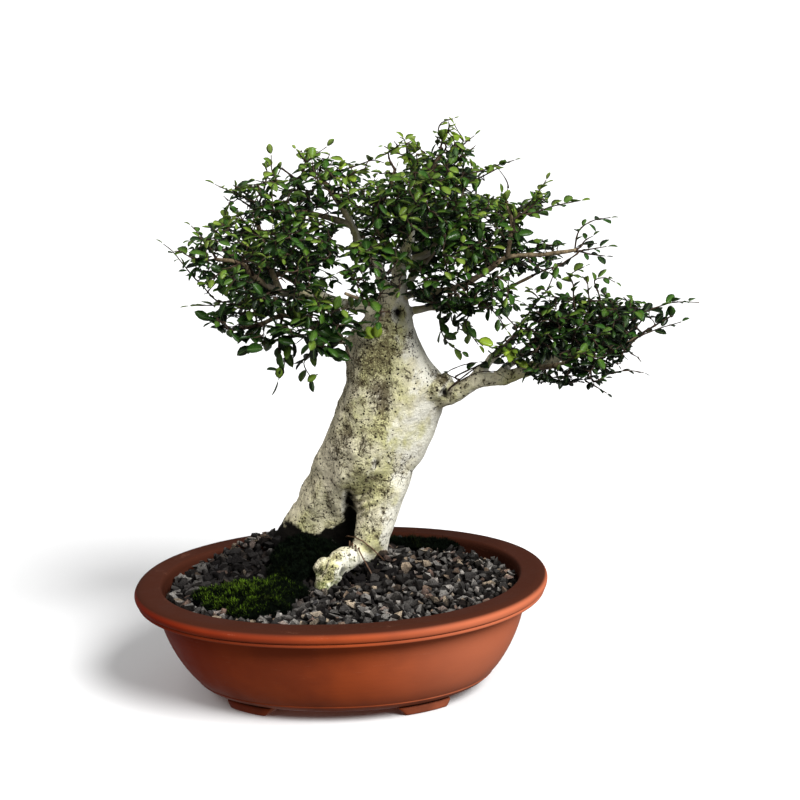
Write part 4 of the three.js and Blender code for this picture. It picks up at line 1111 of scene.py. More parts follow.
def make_tree(wood):
    """The trunk with its legs and surface root, and every branch out to its thin end, as one piece."""
    piece = thick_wood(wood)
    carve_wood(piece)
    skin = Skin()
    for name in BRANCHES:
        route, radii = branch_route(name, 2.4)
        first = max(0, int(np.sum(radii > THIN_WOOD)) - 4)
        sides = 9 if radii[first] > 2.5 else 7
        brown = 1 - eased_step(radii[first:], 2.1, 4.2)
        skin.add(*tube(route[first:], radii[first:], sides, 0.3), age=np.repeat(brown, sides))
    thin = skin.piece("thin_branches", [])
    joined = bmesh.new()
    joined.from_mesh(piece.data)
    joined.from_mesh(thin.data)
    mesh = bpy.data.meshes.new("tree_wood")
    joined.to_mesh(mesh)
    joined.free()
    bpy.data.objects.remove(thin)
    piece.data = mesh
    mesh.materials.append(bark_finish(wood))
    mesh.polygons.foreach_set("use_smooth", [True] * len(mesh.polygons))
    settle(piece, "bark", "tree")


def leaf_form():
    """One leaf along +X, one unit long: its points and its faces."""
    points = [(0.0, 0.0, 0.0), (0.0, 0.03, -0.03), (0.0, -0.03, -0.03),
              (0.15, 0.0, 0.0), (0.15, 0.025, -0.025), (0.15, -0.025, -0.025), (0.12, 0.0, 0.004)]
    faces = [(0, 3, 4, 1), (1, 4, 5, 2), (2, 5, 3, 0)]
    along = ((0.20, 0.25), (0.42, 0.46), (0.66, 0.50), (0.87, 0.30))
    for place, half in along:
        rise = -0.10 * (place - 0.3) ** 2
        points.extend([(place, half, rise), (place, 0.0, rise), (place, -half, rise),
                       (place, 0.0, rise - 0.02)])
    points.append((1.0, 0.0, -0.05))
    tip = len(points) - 1
    for row in range(3):
        left, middle, right, under = range(7 + row * 4, 11 + row * 4)
        faces.extend([(right, right + 4, middle + 4, middle), (middle, middle + 4, left + 4, left),
                      (right, under, under + 4, right + 4), (under, left, left + 4, under + 4)])
    faces.extend([(6, 9, 8), (6, 8, 7), (6, 10, 9), (6, 7, 10)])
    faces.extend([(21, tip, 20), (20, tip, 19), (21, 22, tip), (22, 19, tip)])
    return np.array(points), faces


LEAF_POINTS, LEAF_FACES = leaf_form()
LEAF_UNDER = np.array([1.0 if i in (10, 14, 18, 22) else 0.0 for i in range(len(LEAF_POINTS))])
LEAF_BLADE = np.stack([LEAF_POINTS[:, 0], 0.5 + LEAF_POINTS[:, 1]], axis=1)


class Shoots:
    """The twigs and leaves of one piece of foliage, gathered as the crown grows.

    Each leaf is a row: its base, its way and the way that it faces, then length, breadth, tone and age.
    """

    def __init__(self, name):
        self.name = name
        self.twigs = Skin()
        self.leaves = []

    def twig(self, route, thick, thin):
        """A twig along a route, tapering to its tip."""
        count = len(route)
        radii = mix(thick, thin, np.linspace(0, 1, count) ** 0.8)
        swell = 1 + 0.28 * (np.arange(count) % 3 == 0)
        self.twigs.add(*tube(route, radii * swell, 5), slot=1, tone=0.5)

    def leaf(self, base, way, face, length, width, tone, age):
        """One leaf, growing from base along a way, its upper side towards face."""
        self.leaves.append((*base, *way, *face, length, width, tone, age))

    def piece(self, materials):
        """Makes the piece."""
        rows = np.array(self.leaves).reshape(-1, 13)
        base, way, face = rows[:, 0:3], unit(rows[:, 3:6]), rows[:, 6:9]
        length, width, tone, age = (rows[:, i][:, None] for i in range(9, 13))
        side = unit(np.cross(face, way))
        face = np.cross(way, side)
        ahead = LEAF_POINTS[:, 0][None, :] * length
        across = LEAF_POINTS[:, 1][None, :] * length * width
        fold = 0.22 + 0.25 * np.abs(np.sin(rows[:, 0] * 3.7 + rows[:, 2]))[:, None]
        curl = 0.12 * np.sin(rows[:, 1] * 2.9 + rows[:, 2])[:, None]
        rise = (LEAF_POINTS[:, 2][None, :] * length + np.abs(across) * fold
                - curl * length * LEAF_POINTS[:, 0][None, :] ** 2)
        points = (base[:, None, :] + way[:, None, :] * ahead[:, :, None]
                  + side[:, None, :] * across[:, :, None] + face[:, None, :] * rise[:, :, None])
        count = len(LEAF_POINTS)
        faces = [tuple(i + leaf * count for i in form) for leaf in range(len(rows)) for form in LEAF_FACES]
        self.twigs.add(points.reshape(-1, 3), faces, uv=np.tile(LEAF_BLADE, (len(rows), 1)),
                       tone=np.repeat(tone, count), age=np.repeat(age, count),
                       dark=np.tile(LEAF_UNDER, len(rows)))
        return self.twigs.piece(self.name, materials)


def inside_outline(x, z):
    """True inside the crown's outline."""
    corners = np.array(CROWN_OUTLINE, float)
    following = np.roll(corners, -1, axis=0)
    spans = (corners[:, 1] > z) != (following[:, 1] > z)
    slope = (following[:, 0] - corners[:, 0]) / np.where(spans, following[:, 1] - corners[:, 1], 1.0)
    return int(np.sum(spans & (x < corners[:, 0] + (z - corners[:, 1]) * slope))) % 2 == 1


class Crown:
    """The growing crown: the places that new twigs may start from, and the piece that owns each."""

    def __init__(self, foliage, materials):
        self.foliage = foliage
        self.materials = materials
        self.draw = np.random.default_rng(foliage.seed)
        self.places = np.empty((MOST_PLACES, 3))
        self.owners = []
        self.shoots = {}
        low, high = np.array(CAD_BOX)
        self.low = (low - POT_MIDDLE) / MM - 5
        self.high = (high - POT_MIDDLE) / MM + 5
        self.leaf_pitch = foliage.leaf_pitch / MM
        self.eye = camera_place()
        shown = []
        for name, first, last in SHOWN_WOOD:
            route, radii = branch_route(name)
            part = slice(int(first * len(route)), int(last * len(route)))
            shown.append(np.column_stack([route[part], radii[part]]))
        shown = np.concatenate(shown)
        self.shown, self.shown_radius = shown[:, :3], shown[:, 3]
        self.shown_at = self.seen_at(self.shown)

    def owner(self, name):
        """The shoots of a piece, started when first asked for."""
        if name not in self.shoots:
            self.shoots[name] = Shoots(name)
        return self.shoots[name]

    def remember(self, route, name):
        """Takes in the points of a twig or branch as places to grow from."""
        first = len(self.owners)
        self.places[first:first + len(route)] = route
        self.owners.extend([name] * len(route))

    def nearest(self, place):
        """The nearest place to grow from, and the name of the piece that owns it."""
        gaps = np.sum((self.places[:len(self.owners)] - place) ** 2, axis=1)
        found = int(np.argmin(gaps))
        return self.places[found], self.owners[found]

    def is_open(self, place, kept=False):
        """True outside the part's bounds and, unless kept, outside the crown's outline and in its gaps."""
        if np.any(place < self.low) or np.any(place > self.high):
            return True
        seen_x, seen_z = self.seen_at(place)
        gaps = any(math.hypot(seen_x - x, seen_z - z) < radius for x, z, radius in LIGHT_GAPS)
        return not kept and (gaps or not inside_outline(seen_x, seen_z))

    def seen_at(self, places):
        """Where the camera sees places, on the upright plane through the trunk."""
        away = places - self.eye
        return (self.eye + away * (self.eye[1] / (self.eye[1] - places[..., 1:2])))[..., [0, 2]]

    def hides_wood(self, place):
        """True for most places right in front of the branches that show between the leaves."""
        gaps = np.linalg.norm(self.shown_at - self.seen_at(place[None]), axis=1)
        in_front = self.shown[:, 1] > place[1] + 1.0
        hides = bool(np.any((gaps < self.shown_radius + SHOWN_MARGIN) & in_front))
        return hides and self.draw.random() < SHOWN_SHARE

    def in_cloud(self, place):
        """Where a place lies in its own cloud of foliage, as shares of the cloud's radii."""
        pads = np.array(FOLIAGE_PADS)
        away = (place - pads[:, :3]) / pads[:, 3:]
        return away[int(np.argmin(np.linalg.norm(away, axis=1)))]

    def set_leaves(self, name, route, first_share, pitch, big=1.0, kept=False):
        """Leaves in two rows along a twig and one at its tip; gives the share where the last one stands."""
        draw, foliage = self.draw, self.foliage
        reached = 0.0
        ways = directions(route)
        length = float(np.sum(np.linalg.norm(np.diff(route, axis=0), axis=1)))
        count = max(2, round(length * (1 - first_share) / pitch) + 1)
        for i in range(count):
            last = i == count - 1
            share = 1.0 if last else mix(first_share, 0.95, i / (count - 1))
            at = min(len(route) - 1, share * (len(route) - 1))
            low = min(int(at), len(route) - 2)
            base, way = mix(route[low], route[low + 1], at - low), ways[low]
            cloud_way = self.in_cloud(base)
            face = np.array([0, 0, 1.0]) + 0.20 * unit(cloud_way) + draw.normal(size=3) * 0.34
            side = unit(np.cross(face, way)) * (1 if i % 2 else -1)
            lean = math.radians(draw.uniform(*(TIP_LEAF_LEAN if last else LEAF_LEAN)))
            out = way * math.cos(lean) + side * math.sin(lean) + draw.normal(size=3) * 0.14
            out = unit(out - np.array([0, 0, 0.12]))
            size = mix(foliage.leaf_small, foliage.leaf_large, draw.beta(1.9, 2.4)) / MM * big
            size *= 0.84 + 0.4 * float(eased_step(-base[2], -360, -325) * eased_step(-base[0], -60, -10))
            shorter = (0.45 if kept else 0.35) * eased_step(share, 0.75, 1.0)
            size *= 1 - shorter * (0.4 + 0.6 * draw.random())
            pad_leaf = float(eased_step(base[0], 160, 180) * eased_step(-base[2], -365, -345))
            size *= 1 - 0.06 * pad_leaf
            if self.is_open(base + out * size * 0.85, kept) or self.hides_wood(base + out * size * 0.5):
                continue
            # The tone paints shade and light: leaves deep in their cloud of foliage get painted shade and
            # leaves high in it painted light; round the crown's top middle they are lighter, in the low
            # right pad and on the long twigs at the far right darker, and the rest varies at random.
            depth = float(np.linalg.norm(cloud_way))
            tone = 0.60 * float(eased_step(depth, 0.55, 1.15))
            tone += 0.34 * float(np.clip(cloud_way[2], -1, 1))
            tone += draw.normal() * 0.19 - 0.24 * pad_leaf - 0.02
            tone += 0.16 * math.exp(-((base[0] - 75) / 40) ** 2 - ((base[2] - 432) / 34) ** 2)
            if kept:
                tone -= 0.3 * float(eased_step(base[0], 172, 200))
            young = max(0.0, self.youth(base) - 0.3 * draw.random())
            broad = draw.uniform(*LEAF_BREADTH) - 0.13 * float(eased_step(size, 13, 17))
            tone = float(np.clip(tone, 0, 1))
            self.owner(name).leaf(base, out, face, min(size, LARGEST_LEAF), broad, tone, young)
            reached = share
        return reached

    def youth(self, place):
        """How young the leaves at a place are: 1 in the pale new shoots, 0 elsewhere."""
        youngest = 0.0
        for x, y, z, radius in YOUNG_SHOOTS:
            youngest = max(youngest, 1 - float(np.linalg.norm(place - (x, y, z))) / radius)
        return min(1.0, 1.4 * max(0.0, youngest))

    def twig_to(self, target):
        """Grows a twig from the nearest wood to a target, unless the two almost touch."""
        start, name = self.nearest(target)
        reach = float(np.linalg.norm(target - start))
        if reach < 5:
            return
        bow = self.draw.normal(size=3) * reach * 0.11 + np.array([0, 0, -0.06 * reach])
        route = bowed_route(start, (start + target) / 2 + bow, target, max(4, round(reach / TWIG_STEP)))
        reached = self.set_leaves(name, route, 0.18 if reach < 26 else 0.42, self.leaf_pitch)
        route = route[:max(3, math.ceil(reached * (len(route) - 1)) + 1)]
        self.owner(name).twig(route, 0.55 + 0.011 * min(reach, 60), 0.32)
        self.remember(route[1:], name)

    def targets(self):
        """Evenly scattered places in the outer part of every cloud of foliage."""
        spacing = self.foliage.twig_spacing / MM
        kept = np.empty((0, 3))
        for x, y, z, radius_x, radius_y, radius_z in FOLIAGE_PADS:
            radii = np.array([radius_x, radius_y, radius_z])
            near = spacing * (0.70 if x > 165 and z < 340 else 0.8)
            tries = int(20 * np.prod(radii) / near**3)
            ways = unit(self.draw.normal(size=(tries, 3)))
            places = ways * self.draw.uniform(0.35, 1.0, (tries, 1)) ** 0.5
            for place in places * radii + (x, y, z):
                clear = len(kept) == 0 or np.min(np.sum((kept - place) ** 2, axis=1)) > near**2
                if clear and not self.is_open(place):
                    kept = np.vstack([kept, place])
        return kept

    def grow_spray(self, number, branch, index, tip, bow):
        """One of the part's own sprays, along the same stem, with side twigs and finer leaves."""
        name = f"spray_{number:02d}_{branch}"
        start = np.array(BRANCHES[branch][2][index], float)
        reach = float(np.linalg.norm(np.array(tip) - start))
        end = mix(start, np.array(tip, float), 1 - TIP_LEAF / reach)
        route = bowed_route(start, (start + end) / 2 + bow, end, max(6, round(reach / STEM_STEP)))
        piece = name + "_shoots"
        reached = self.set_leaves(piece, route, 0.25, self.leaf_pitch, 1.05)
        route = route[:max(5, math.ceil(reached * (len(route) - 1)) + 1)]
        self.owner(piece).twig(route, 1.25, 0.5)
        self.remember(route, piece)
        for share in np.arange(*SIDE_TWIGS):
            at = int(share * (len(route) - 1))
            way = unit(route[at + 1] - route[at])
            side = unit(np.cross((0, 0, 1), way) + self.draw.normal(size=3) * 0.5)
            turn = 1 if int(share * 100) % 2 else -1
            self.twig_to(route[at] + (way * 0.8 + side * turn * 0.7) * self.draw.uniform(*SIDE_TWIG_LENGTH))

    def grow(self):
        """Grows the whole crown and makes its pieces."""
        for name in BRANCHES:
            route, _ = branch_route(name)
            self.remember(route[len(route) // 4:], "shoots_" + name)
        for number, spray in enumerate(SPRAYS, 1):
            self.grow_spray(number, *spray)
        for leaf_pitch, big, route in LONG_TWIGS:
            self.grow_long_twig(np.array(route, float), leaf_pitch, big)
        for leafy, route in HANGING_SHOOTS:
            self.grow_long_twig(np.array(route, float), 6.0 if leafy else 30.0, 0.95 if leafy else 0.5)
        waiting = self.targets()
        gaps = np.full(len(waiting), np.inf)
        seen = 0
        while len(waiting):
            for place in self.places[seen:len(self.owners)]:
                gaps = np.minimum(gaps, np.sum((waiting - place) ** 2, axis=1))
            seen = len(self.owners)
            nearest = int(np.argmin(gaps))
            self.twig_to(waiting[nearest])
            waiting = np.delete(waiting, nearest, axis=0)
            gaps = np.delete(gaps, nearest)
        for single in SINGLE_LEAVES:
            self.grow_single_leaf(*single)
        for name, shoots in self.shoots.items():
            nodes = [name.removesuffix("_shoots")] if name.startswith("spray_") else []
            settle(shoots.piece(self.materials), "foliage", *nodes)

    def grow_single_leaf(self, x, y, z, lean, length, age):
        """One leaf that stands out, on a short stalk from the nearest twig."""
        base = np.array((x, y, z), float)
        start, name = self.nearest(base)
        if np.linalg.norm(base - start) > 1.0:
            self.owner(name).twig(bowed_route(start, (start + base) / 2, base, 4), 0.55, 0.35)
        lean = math.radians(lean)
        way = unit((math.cos(lean), -0.12, math.sin(lean)))
        self.owner(name).leaf(base, way, (0.1, -0.7, 0.7), length, 0.6, 0.20 + age, age)

    def grow_long_twig(self, points, leaf_pitch, big):
        """One of the long twigs that stand out of the crown's outline."""
        start, name = self.nearest(points[0])
        if np.linalg.norm(points[0] - start) < 3:
            points = points[1:]
        route = smooth_route(np.vstack([start, points]), 3.0)
        self.owner(name).twig(route, 0.95 if leaf_pitch < 20 else 0.5, 0.38)
        self.set_leaves(name, route, 0.2, 0.72 * leaf_pitch, 0.25 + 0.95 * big, True)
        self.remember(route[1:], name)


def camera_place():
    """Where the camera stands, in millimetres from the pot."""
    azimuth, elevation = math.radians(CAMERA_AZIMUTH), math.radians(CAMERA_ELEVATION)
    back = np.array([math.sin(azimuth) * math.cos(elevation), -math.cos(azimuth) * math.cos(elevation),
                     math.sin(elevation)])
    return np.array(CAMERA_TARGET) + back * CAMERA_DISTANCE


def plastic_finish(pot):
    """Worn reddish-brown moulded plastic: satin on the wall, duller and darker on top of the rim, with
    painted light on the wall's right side and painted shade on its left side and the rim's left part.
    """
    finish = Finish("training_pot_plastic", 0.4, Specular_IOR_Level=0.03)
    up = finish.axis("Z", finish.normal())
    height = finish.axis("Z")
    on_rim = finish.range(height, pot.height - 0.014, pot.height - 0.006)
    top = finish.times(finish.range(up, 0.3, 0.85), on_rim)
    from_middle = finish.add("Mapping", {"Vector": finish.place, "Location": tuple(-POT_MIDDLE)})
    facing = finish.add("VectorMath", operation="DOT_PRODUCT")
    finish.put(facing.inputs[0], from_middle.outputs["Vector"])
    finish.put(facing.inputs[1], finish.normal())
    flat = finish.times(up, -0.1)
    inside = finish.range(finish.plus(facing.outputs["Value"], flat), 0.0, -0.02)
    top = finish.larger(top, inside)
    cloudy = finish.noise(14, 3)
    finish.colour = finish.blend(finish.range(cloudy, 0.35, 0.7), pot.colour, pot.colour_worn)
    # Painted light on faces towards the right and painted shade on faces towards the left.
    side = finish.axis("X", finish.normal())
    finish.cover(finish.range(side, 0.0, 0.75, 0.0, 0.7), pot.colour_lit_right)
    finish.cover(finish.range(side, -0.1, -0.80, 0.0, 0.88), pot.colour_shaded_left)
    # Painted shade on the rim's left part.
    across = finish.axis("X")
    middle = float(POT_MIDDLE[0])
    rim_left_shade = finish.range(across, middle + 0.10, middle - 0.16, 0.0, 0.6)
    finish.cover(finish.times(on_rim, rim_left_shade), pot.colour_shaded_left)
    finish.cover(top, pot.colour_rim)
    # The wall darkens towards its bottom, in cloudy patches.
    low = finish.times(finish.range(height, 0.034, 0.004), finish.noise(60, 4))
    finish.cover(low, pot.colour_low)
    long_scuffs = finish.noise(1, 5, 0.7, finish.stretched(30, 30, 420))
    specks = finish.noise(900, 2)
    worn = finish.times(finish.range(long_scuffs, 0.60, 0.72), finish.range(specks, 0.45, 0.6))
    finish.cover(finish.times(worn, 0.20), pot.colour_scuff)
    dust = finish.range(finish.cells(260), 0.10, 0.02)
    finish.cover(finish.times(dust, 0.08), pot.colour_scuff)
    rough = finish.range(finish.noise(35, 4), 0.3, 0.7, 0.32, 0.5)
    rough = finish.plus(rough, finish.times(top, 0.16))
    finish.bump(finish.noise(1500, 2), 0.00008)
    finish.bump(finish.noise(16, 2), 0.0009)
    finish.bump(long_scuffs, 0.00012)
    return finish.done(rough)


def stone_finish():
    """Crushed stone: mostly grey, with pinkish, tan, cream and dark ones among them, painted shade on faces
    turned from the sky and under and between the stones, and soil with painted shade where listed.
    """
    finish = Finish("crushed_stone", 0.9, Specular_IOR_Level=0.12)
    kind = finish.value("tone")
    greys = finish.ramp(kind, (
        (0.0, (0.020, 0.020, 0.020)), (0.20, (0.065, 0.062, 0.060)), (0.48, (0.18, 0.172, 0.165)),
        (0.74, (0.50, 0.48, 0.455)), (0.84, (0.27, 0.175, 0.14)), (0.90, (0.25, 0.18, 0.125)),
        (0.96, (0.66, 0.54, 0.40)), (1.0, (0.10, 0.11, 0.13))))
    grain = finish.noise(1100, 5, 0.7)
    finish.colour = finish.blend(finish.range(grain, 0.35, 0.7), greys, (1.0, 0.95, 0.88), "MULTIPLY")
    finish.cover(finish.range(grain, 0.38, 0.58, 0.75, 0.0), (0.02, 0.018, 0.016))
    glints = finish.range(finish.cells(900), 0.20, 0.10)
    finish.cover(finish.times(glints, 0.35), (0.55, 0.53, 0.49))
    flecks = finish.range(finish.cells(1400), 0.16, 0.06)
    finish.cover(finish.times(flecks, 0.55), (0.04, 0.035, 0.03))
    stain = finish.times(finish.range(finish.noise(240, 3), 0.45, 0.75), 0.7)
    finish.cover(stain, (0.16, 0.13, 0.10), "MULTIPLY")
    # Painted shade: faces turned away from the sky darken.
    up = finish.axis("Z", finish.normal())
    finish.cover(finish.range(up, 0.80, 0.15, 0.0, 0.93), (0.012, 0.010, 0.008))
    # The dark value: painted shade under and between the stones, and soil with painted shade on the listed
    # ground.
    finish.cover(finish.times(finish.value("dark"), 0.95), (0.004, 0.003, 0.003))
    finish.bump(grain, 0.0012)
    finish.bump(finish.noise(420, 3), 0.0016)
    return finish.done()


def moss_finish(name, dark, bright):
    """Moss: bright at the tufts' tips and dark between them."""
    finish = Finish(name, 0.8, Specular_IOR_Level=0.06)
    tufts = finish.value("tone")
    cloudy = finish.noise(140, 3)
    lit = finish.times(tufts, finish.range(cloudy, 0.25, 0.7, 0.45, 1.0))
    finish.colour = finish.blend(finish.range(lit, 0.15, 0.95), dark, bright)
    yellow = finish.times(finish.range(finish.noise(60, 2), 0.55, 0.75), 0.4)
    finish.cover(finish.times(yellow, lit), (0.16, 0.20, 0.02))
    finish.bump(finish.noise(1400, 4), 0.0012)
    return finish.done()


def wire_finish(settings):
    """Brown anodised wire, rubbed here and there."""
    finish = Finish("anodised_wire", 0.5, Metallic=0.5)
    rubbed = finish.range(finish.noise(300, 4), 0.5, 0.7)
    finish.colour = finish.blend(rubbed, settings.wire_colour, (0.20, 0.11, 0.06))
    finish.bump(finish.noise(900, 3), 0.0001)
    return finish.done()


def soil_finish():
    """Dark crumbly growing mix with pale grains of pumice."""
    finish = Finish("growing_mix", 0.95)
    crumbs = finish.cells(260, output="Color")
    shade = finish.axis("X", crumbs)
    finish.colour = finish.ramp(shade, ((0.0, (0.02, 0.013, 0.008)), (0.6, (0.07, 0.045, 0.03)),
                                        (0.88, (0.11, 0.07, 0.045)), (0.95, (0.42, 0.38, 0.32))))
    finish.cover(finish.noise(700, 4), (0.5, 0.45, 0.4), "MULTIPLY")
    finish.bump(finish.cells(260), 0.0025)
    finish.bump(finish.noise(900, 3), 0.0008)
    return finish.done()


def mesh_finish():
    """Black plastic mesh, dusted with soil."""
    finish = Finish("drain_mesh_plastic", 0.55)
    dusty = finish.range(finish.noise(180, 5), 0.45, 0.7)
    finish.colour = finish.blend(dusty, (0.012, 0.012, 0.013), (0.06, 0.045, 0.03))
    finish.bump(finish.noise(1200, 2), 0.0001)
    return finish.done(finish.range(dusty, 0.0, 1.0, 0.45, 0.85))


def bark_finish(wood):
    """Elm bark: pale and mottled on the trunk, pitted black, brown on thin wood, green at the ground;
    painted light whitens its right side and lightens its left, and painted shade blackens its hollows and,
    with wet moss and soil, its left foot.
    """
    finish = Finish("elm_bark", 0.85, Specular_IOR_Level=0.10)
    patchy = finish.noise(105, 6, 0.68)
    fine = finish.noise(420, 5, 0.7)
    grit = finish.noise(1100, 3, 0.6)
    streaks = finish.noise(1, 5, 0.6, finish.stretched(150, 150, 42))
    spotted = finish.value("spotted")
    side = finish.axis("X", finish.normal())
    olive = finish.range(finish.noise(26, 4), 0.38, 0.62)
    finish.colour = finish.blend(olive, wood.bark_pale, wood.bark_olive)
    # Painted light: faces turned to the right whiten, faces turned to the left grow lighter and rosier.
    edge = finish.plus(side, finish.range(finish.noise(45, 3), 0.2, 0.8, -0.35, 0.35))
    finish.cover(finish.range(edge, 0.20, 0.75, 0.0, 0.88), wood.bark_lit_right)
    finish.cover(finish.range(side, -0.15, -0.8, 0.0, 0.75), wood.bark_lit_left)
    finish.cover(finish.range(patchy, 0.48, 0.72, 0.0, 0.55), wood.bark_grey)
    crowd = finish.plus(finish.times(patchy, 0.45), finish.times(spotted, 0.36))
    mottle = finish.range(finish.plus(fine, crowd), 0.97, 1.13, 0.0, 0.46)
    finish.cover(mottle, wood.bark_dark)
    specks = finish.range(finish.plus(finish.noise(900, 3, 0.7), crowd), 0.99, 1.06, 0.0, 0.72)
    finish.cover(specks, wood.bark_dark)
    finish.cover(finish.range(grit, 0.45, 0.70, 0.0, 0.22), wood.bark_dark)
    chance = finish.axis("X", finish.cells(290, output="Color"))
    reach = finish.times(finish.range(crowd, 0.15, 0.50, 0.11, 0.27), finish.range(chance, 0.3, 0.42))
    pits = finish.range(finish.minus(reach, finish.cells(290)), -0.015, 0.03)
    wide_chance = finish.axis("Y", finish.cells(120, output="Color"))
    wide_reach = finish.times(finish.range(crowd, 0.15, 0.45, 0.07, 0.16),
                              finish.range(wide_chance, 0.45, 0.55))
    wide_pits = finish.range(finish.minus(wide_reach, finish.cells(120)), -0.01, 0.02)
    pits = finish.larger(pits, wide_pits)
    wander = finish.warped(0.016)
    broken = finish.range(finish.noise(190, 2), 0.45, 0.58)
    for scale, width, share, first, last in ((95, 0.070, 0.85, 0.28, 0.42), (210, 0.10, 0.6, 0.38, 0.52)):
        cracks = finish.range(finish.cells(scale, "DISTANCE_TO_EDGE", place=wander), width, 0.0)
        cracks = finish.times(cracks, broken)
        cracks = finish.times(cracks, finish.range(crowd, first, last))
        finish.cover(finish.times(cracks, share), wood.bark_crack)
        pits = finish.larger(pits, finish.times(cracks, 0.40))
    finish.cover(finish.times(pits, 0.95), (0.018, 0.012, 0.007))
    young = finish.blend(finish.range(streaks, 0.35, 0.7), wood.bark_young, wood.bark_young_dark)
    young = finish.blend(finish.range(fine, 0.5, 0.7, 0.0, 0.7), young, wood.bark_young_dark)
    finish.cover(finish.value("age"), young)
    green = finish.times(finish.value("tone"), finish.range(patchy, 0.3, 0.62))
    finish.cover(finish.times(green, 0.6), wood.bark_mossy)
    # Painted shade in the hollows, the cleft and the cracks, and on the left foot with wet moss and soil.
    dark = finish.value("dark")
    finish.cover(dark, (0.004, 0.003, 0.002))
    finish.bump(finish.minus(1.0, pits), 0.0010)
    finish.bump(fine, 0.0016)
    finish.bump(streaks, 0.0014)
    return finish.done(finish.range(dark, 0.0, 1.0, 0.85, 1.0))


def leaf_finish(foliage):
    """Glossy small elm leaves: dark green inside the crown as painted shade, olive on top as painted light,
    yellow-green when young, veined and paler below.
    """
    finish = Finish("elm_leaf", 0.3, Specular_IOR_Level=0.3)
    tone, age, under = finish.value("tone"), finish.value("age"), finish.value("dark")
    blade = finish.add("UVMap", uv_map="blade").outputs["UV"]
    parts = finish.add("SeparateXYZ", {"Vector": blade})
    along, across = parts.outputs["X"], parts.outputs["Y"]
    off_rib = finish.sum_up("ABSOLUTE", finish.minus(across, 0.5), 0.0)
    slant = finish.minus(along, finish.times(off_rib, 0.55))
    wave = finish.sum_up("PINGPONG", finish.times(slant, 9.0), 0.5)
    veins = finish.range(wave, 0.42, 0.5)
    rib = finish.range(off_rib, 0.035, 0.005)
    # Painted shade and light: deep green for the leaves deep in the crown, olive for those high on it.
    finish.colour = finish.ramp(tone, ((0.0, foliage.leaf_shaded_deep), (0.36, foliage.leaf_green),
                                       (0.85, foliage.leaf_lit_olive)))
    cloudy = finish.noise(90, 2)
    finish.cover(finish.range(cloudy, 0.4, 0.72), (0.50, 0.72, 0.50), "MULTIPLY")
    dull = finish.times(finish.times(under, 0.6), tone)
    finish.cover(dull, foliage.leaf_under)
    finish.cover(age, foliage.leaf_young)
    drawn = finish.larger(rib, finish.times(veins, 0.45))
    finish.cover(finish.times(drawn, 0.5), foliage.leaf_vein)
    finish.bump(drawn, 0.0003)
    finish.bump(finish.noise(700, 2), 0.00015)
    return finish.done(finish.range(finish.noise(120, 2), 0.3, 0.7, 0.20, 0.40))


def twig_finish(foliage):
    """Thin dark shoots, ringed and speckled with pale pores."""
    finish = Finish("elm_twig", 0.75, Specular_IOR_Level=0.15)
    cloudy = finish.noise(160, 4)
    finish.colour = finish.blend(finish.range(cloudy, 0.35, 0.7), foliage.twig_dark, foliage.twig_brown)
    pores = finish.range(finish.cells(1300), 0.18, 0.08)
    finish.cover(finish.times(pores, 0.5), (0.22, 0.17, 0.12))
    finish.bump(finish.noise(1100, 4), 0.0003)
    return finish.done()


def floor_finish(stage):
    """A plain pale studio floor."""
    finish = Finish("studio_floor", 0.8)
    soft = finish.range(finish.noise(3, 2), 0.3, 0.7, 0.0, 0.04)
    finish.colour = finish.blend(soft, stage.floor_colour, (0.7, 0.7, 0.7))
    return finish.done()


def colour_of(name, description, default):
    """A colour that a user may change, as linear red, green and blue."""
    return FloatVectorProperty(name=name, description=description, default=default, subtype="COLOR", size=3,
                               min=0.0, max=1.0)


def length_of(name, description, default):
    """A length that a user may change, in metres."""
    return FloatProperty(name=name, description=description, default=default, unit="LENGTH",
                         min=0.0, precision=4)


def strength_of(name, description, default):
    """The strength of a light that a user may change."""
    return FloatProperty(name=name, description=description, default=default, min=0.0)


class BonsaiPot(bpy.types.PropertyGroup):
    """The training pot's size and plastic."""

    length: length_of("Length", "Longest side of the rim", float(POT_HIGH[0] - POT_LOW[0]))
    depth: length_of("Depth", "Shortest side of the rim", float(POT_HIGH[1] - POT_LOW[1]))
    height: length_of("Height", "From the feet to the top of the rim", float(POT_HIGH[2] - POT_LOW[2]))
    colour: colour_of("Plastic", "The wall's reddish brown", (0.35, 0.064, 0.018))
    colour_worn: colour_of("Faded plastic", "The wall where it has faded", (0.235, 0.043, 0.015))
    # Painted light on the wall's right side.
    colour_lit_right: colour_of("Sunny plastic", "The wall's right end, painted light", (0.54, 0.16, 0.08))
    # Painted shade on the wall's left side and the rim's left part.
    colour_shaded_left: colour_of("Deep plastic", "The wall's left end", (0.17, 0.012, 0.003))
    colour_rim: colour_of("Rim top", "The dull top of the rim", (0.046, 0.013, 0.007))
    colour_low: colour_of("Foot darkening", "The darkening low on the wall", (0.06, 0.020, 0.012))
    colour_scuff: colour_of("Scuffs", "Pale scuffs and dust", (0.50, 0.22, 0.14))


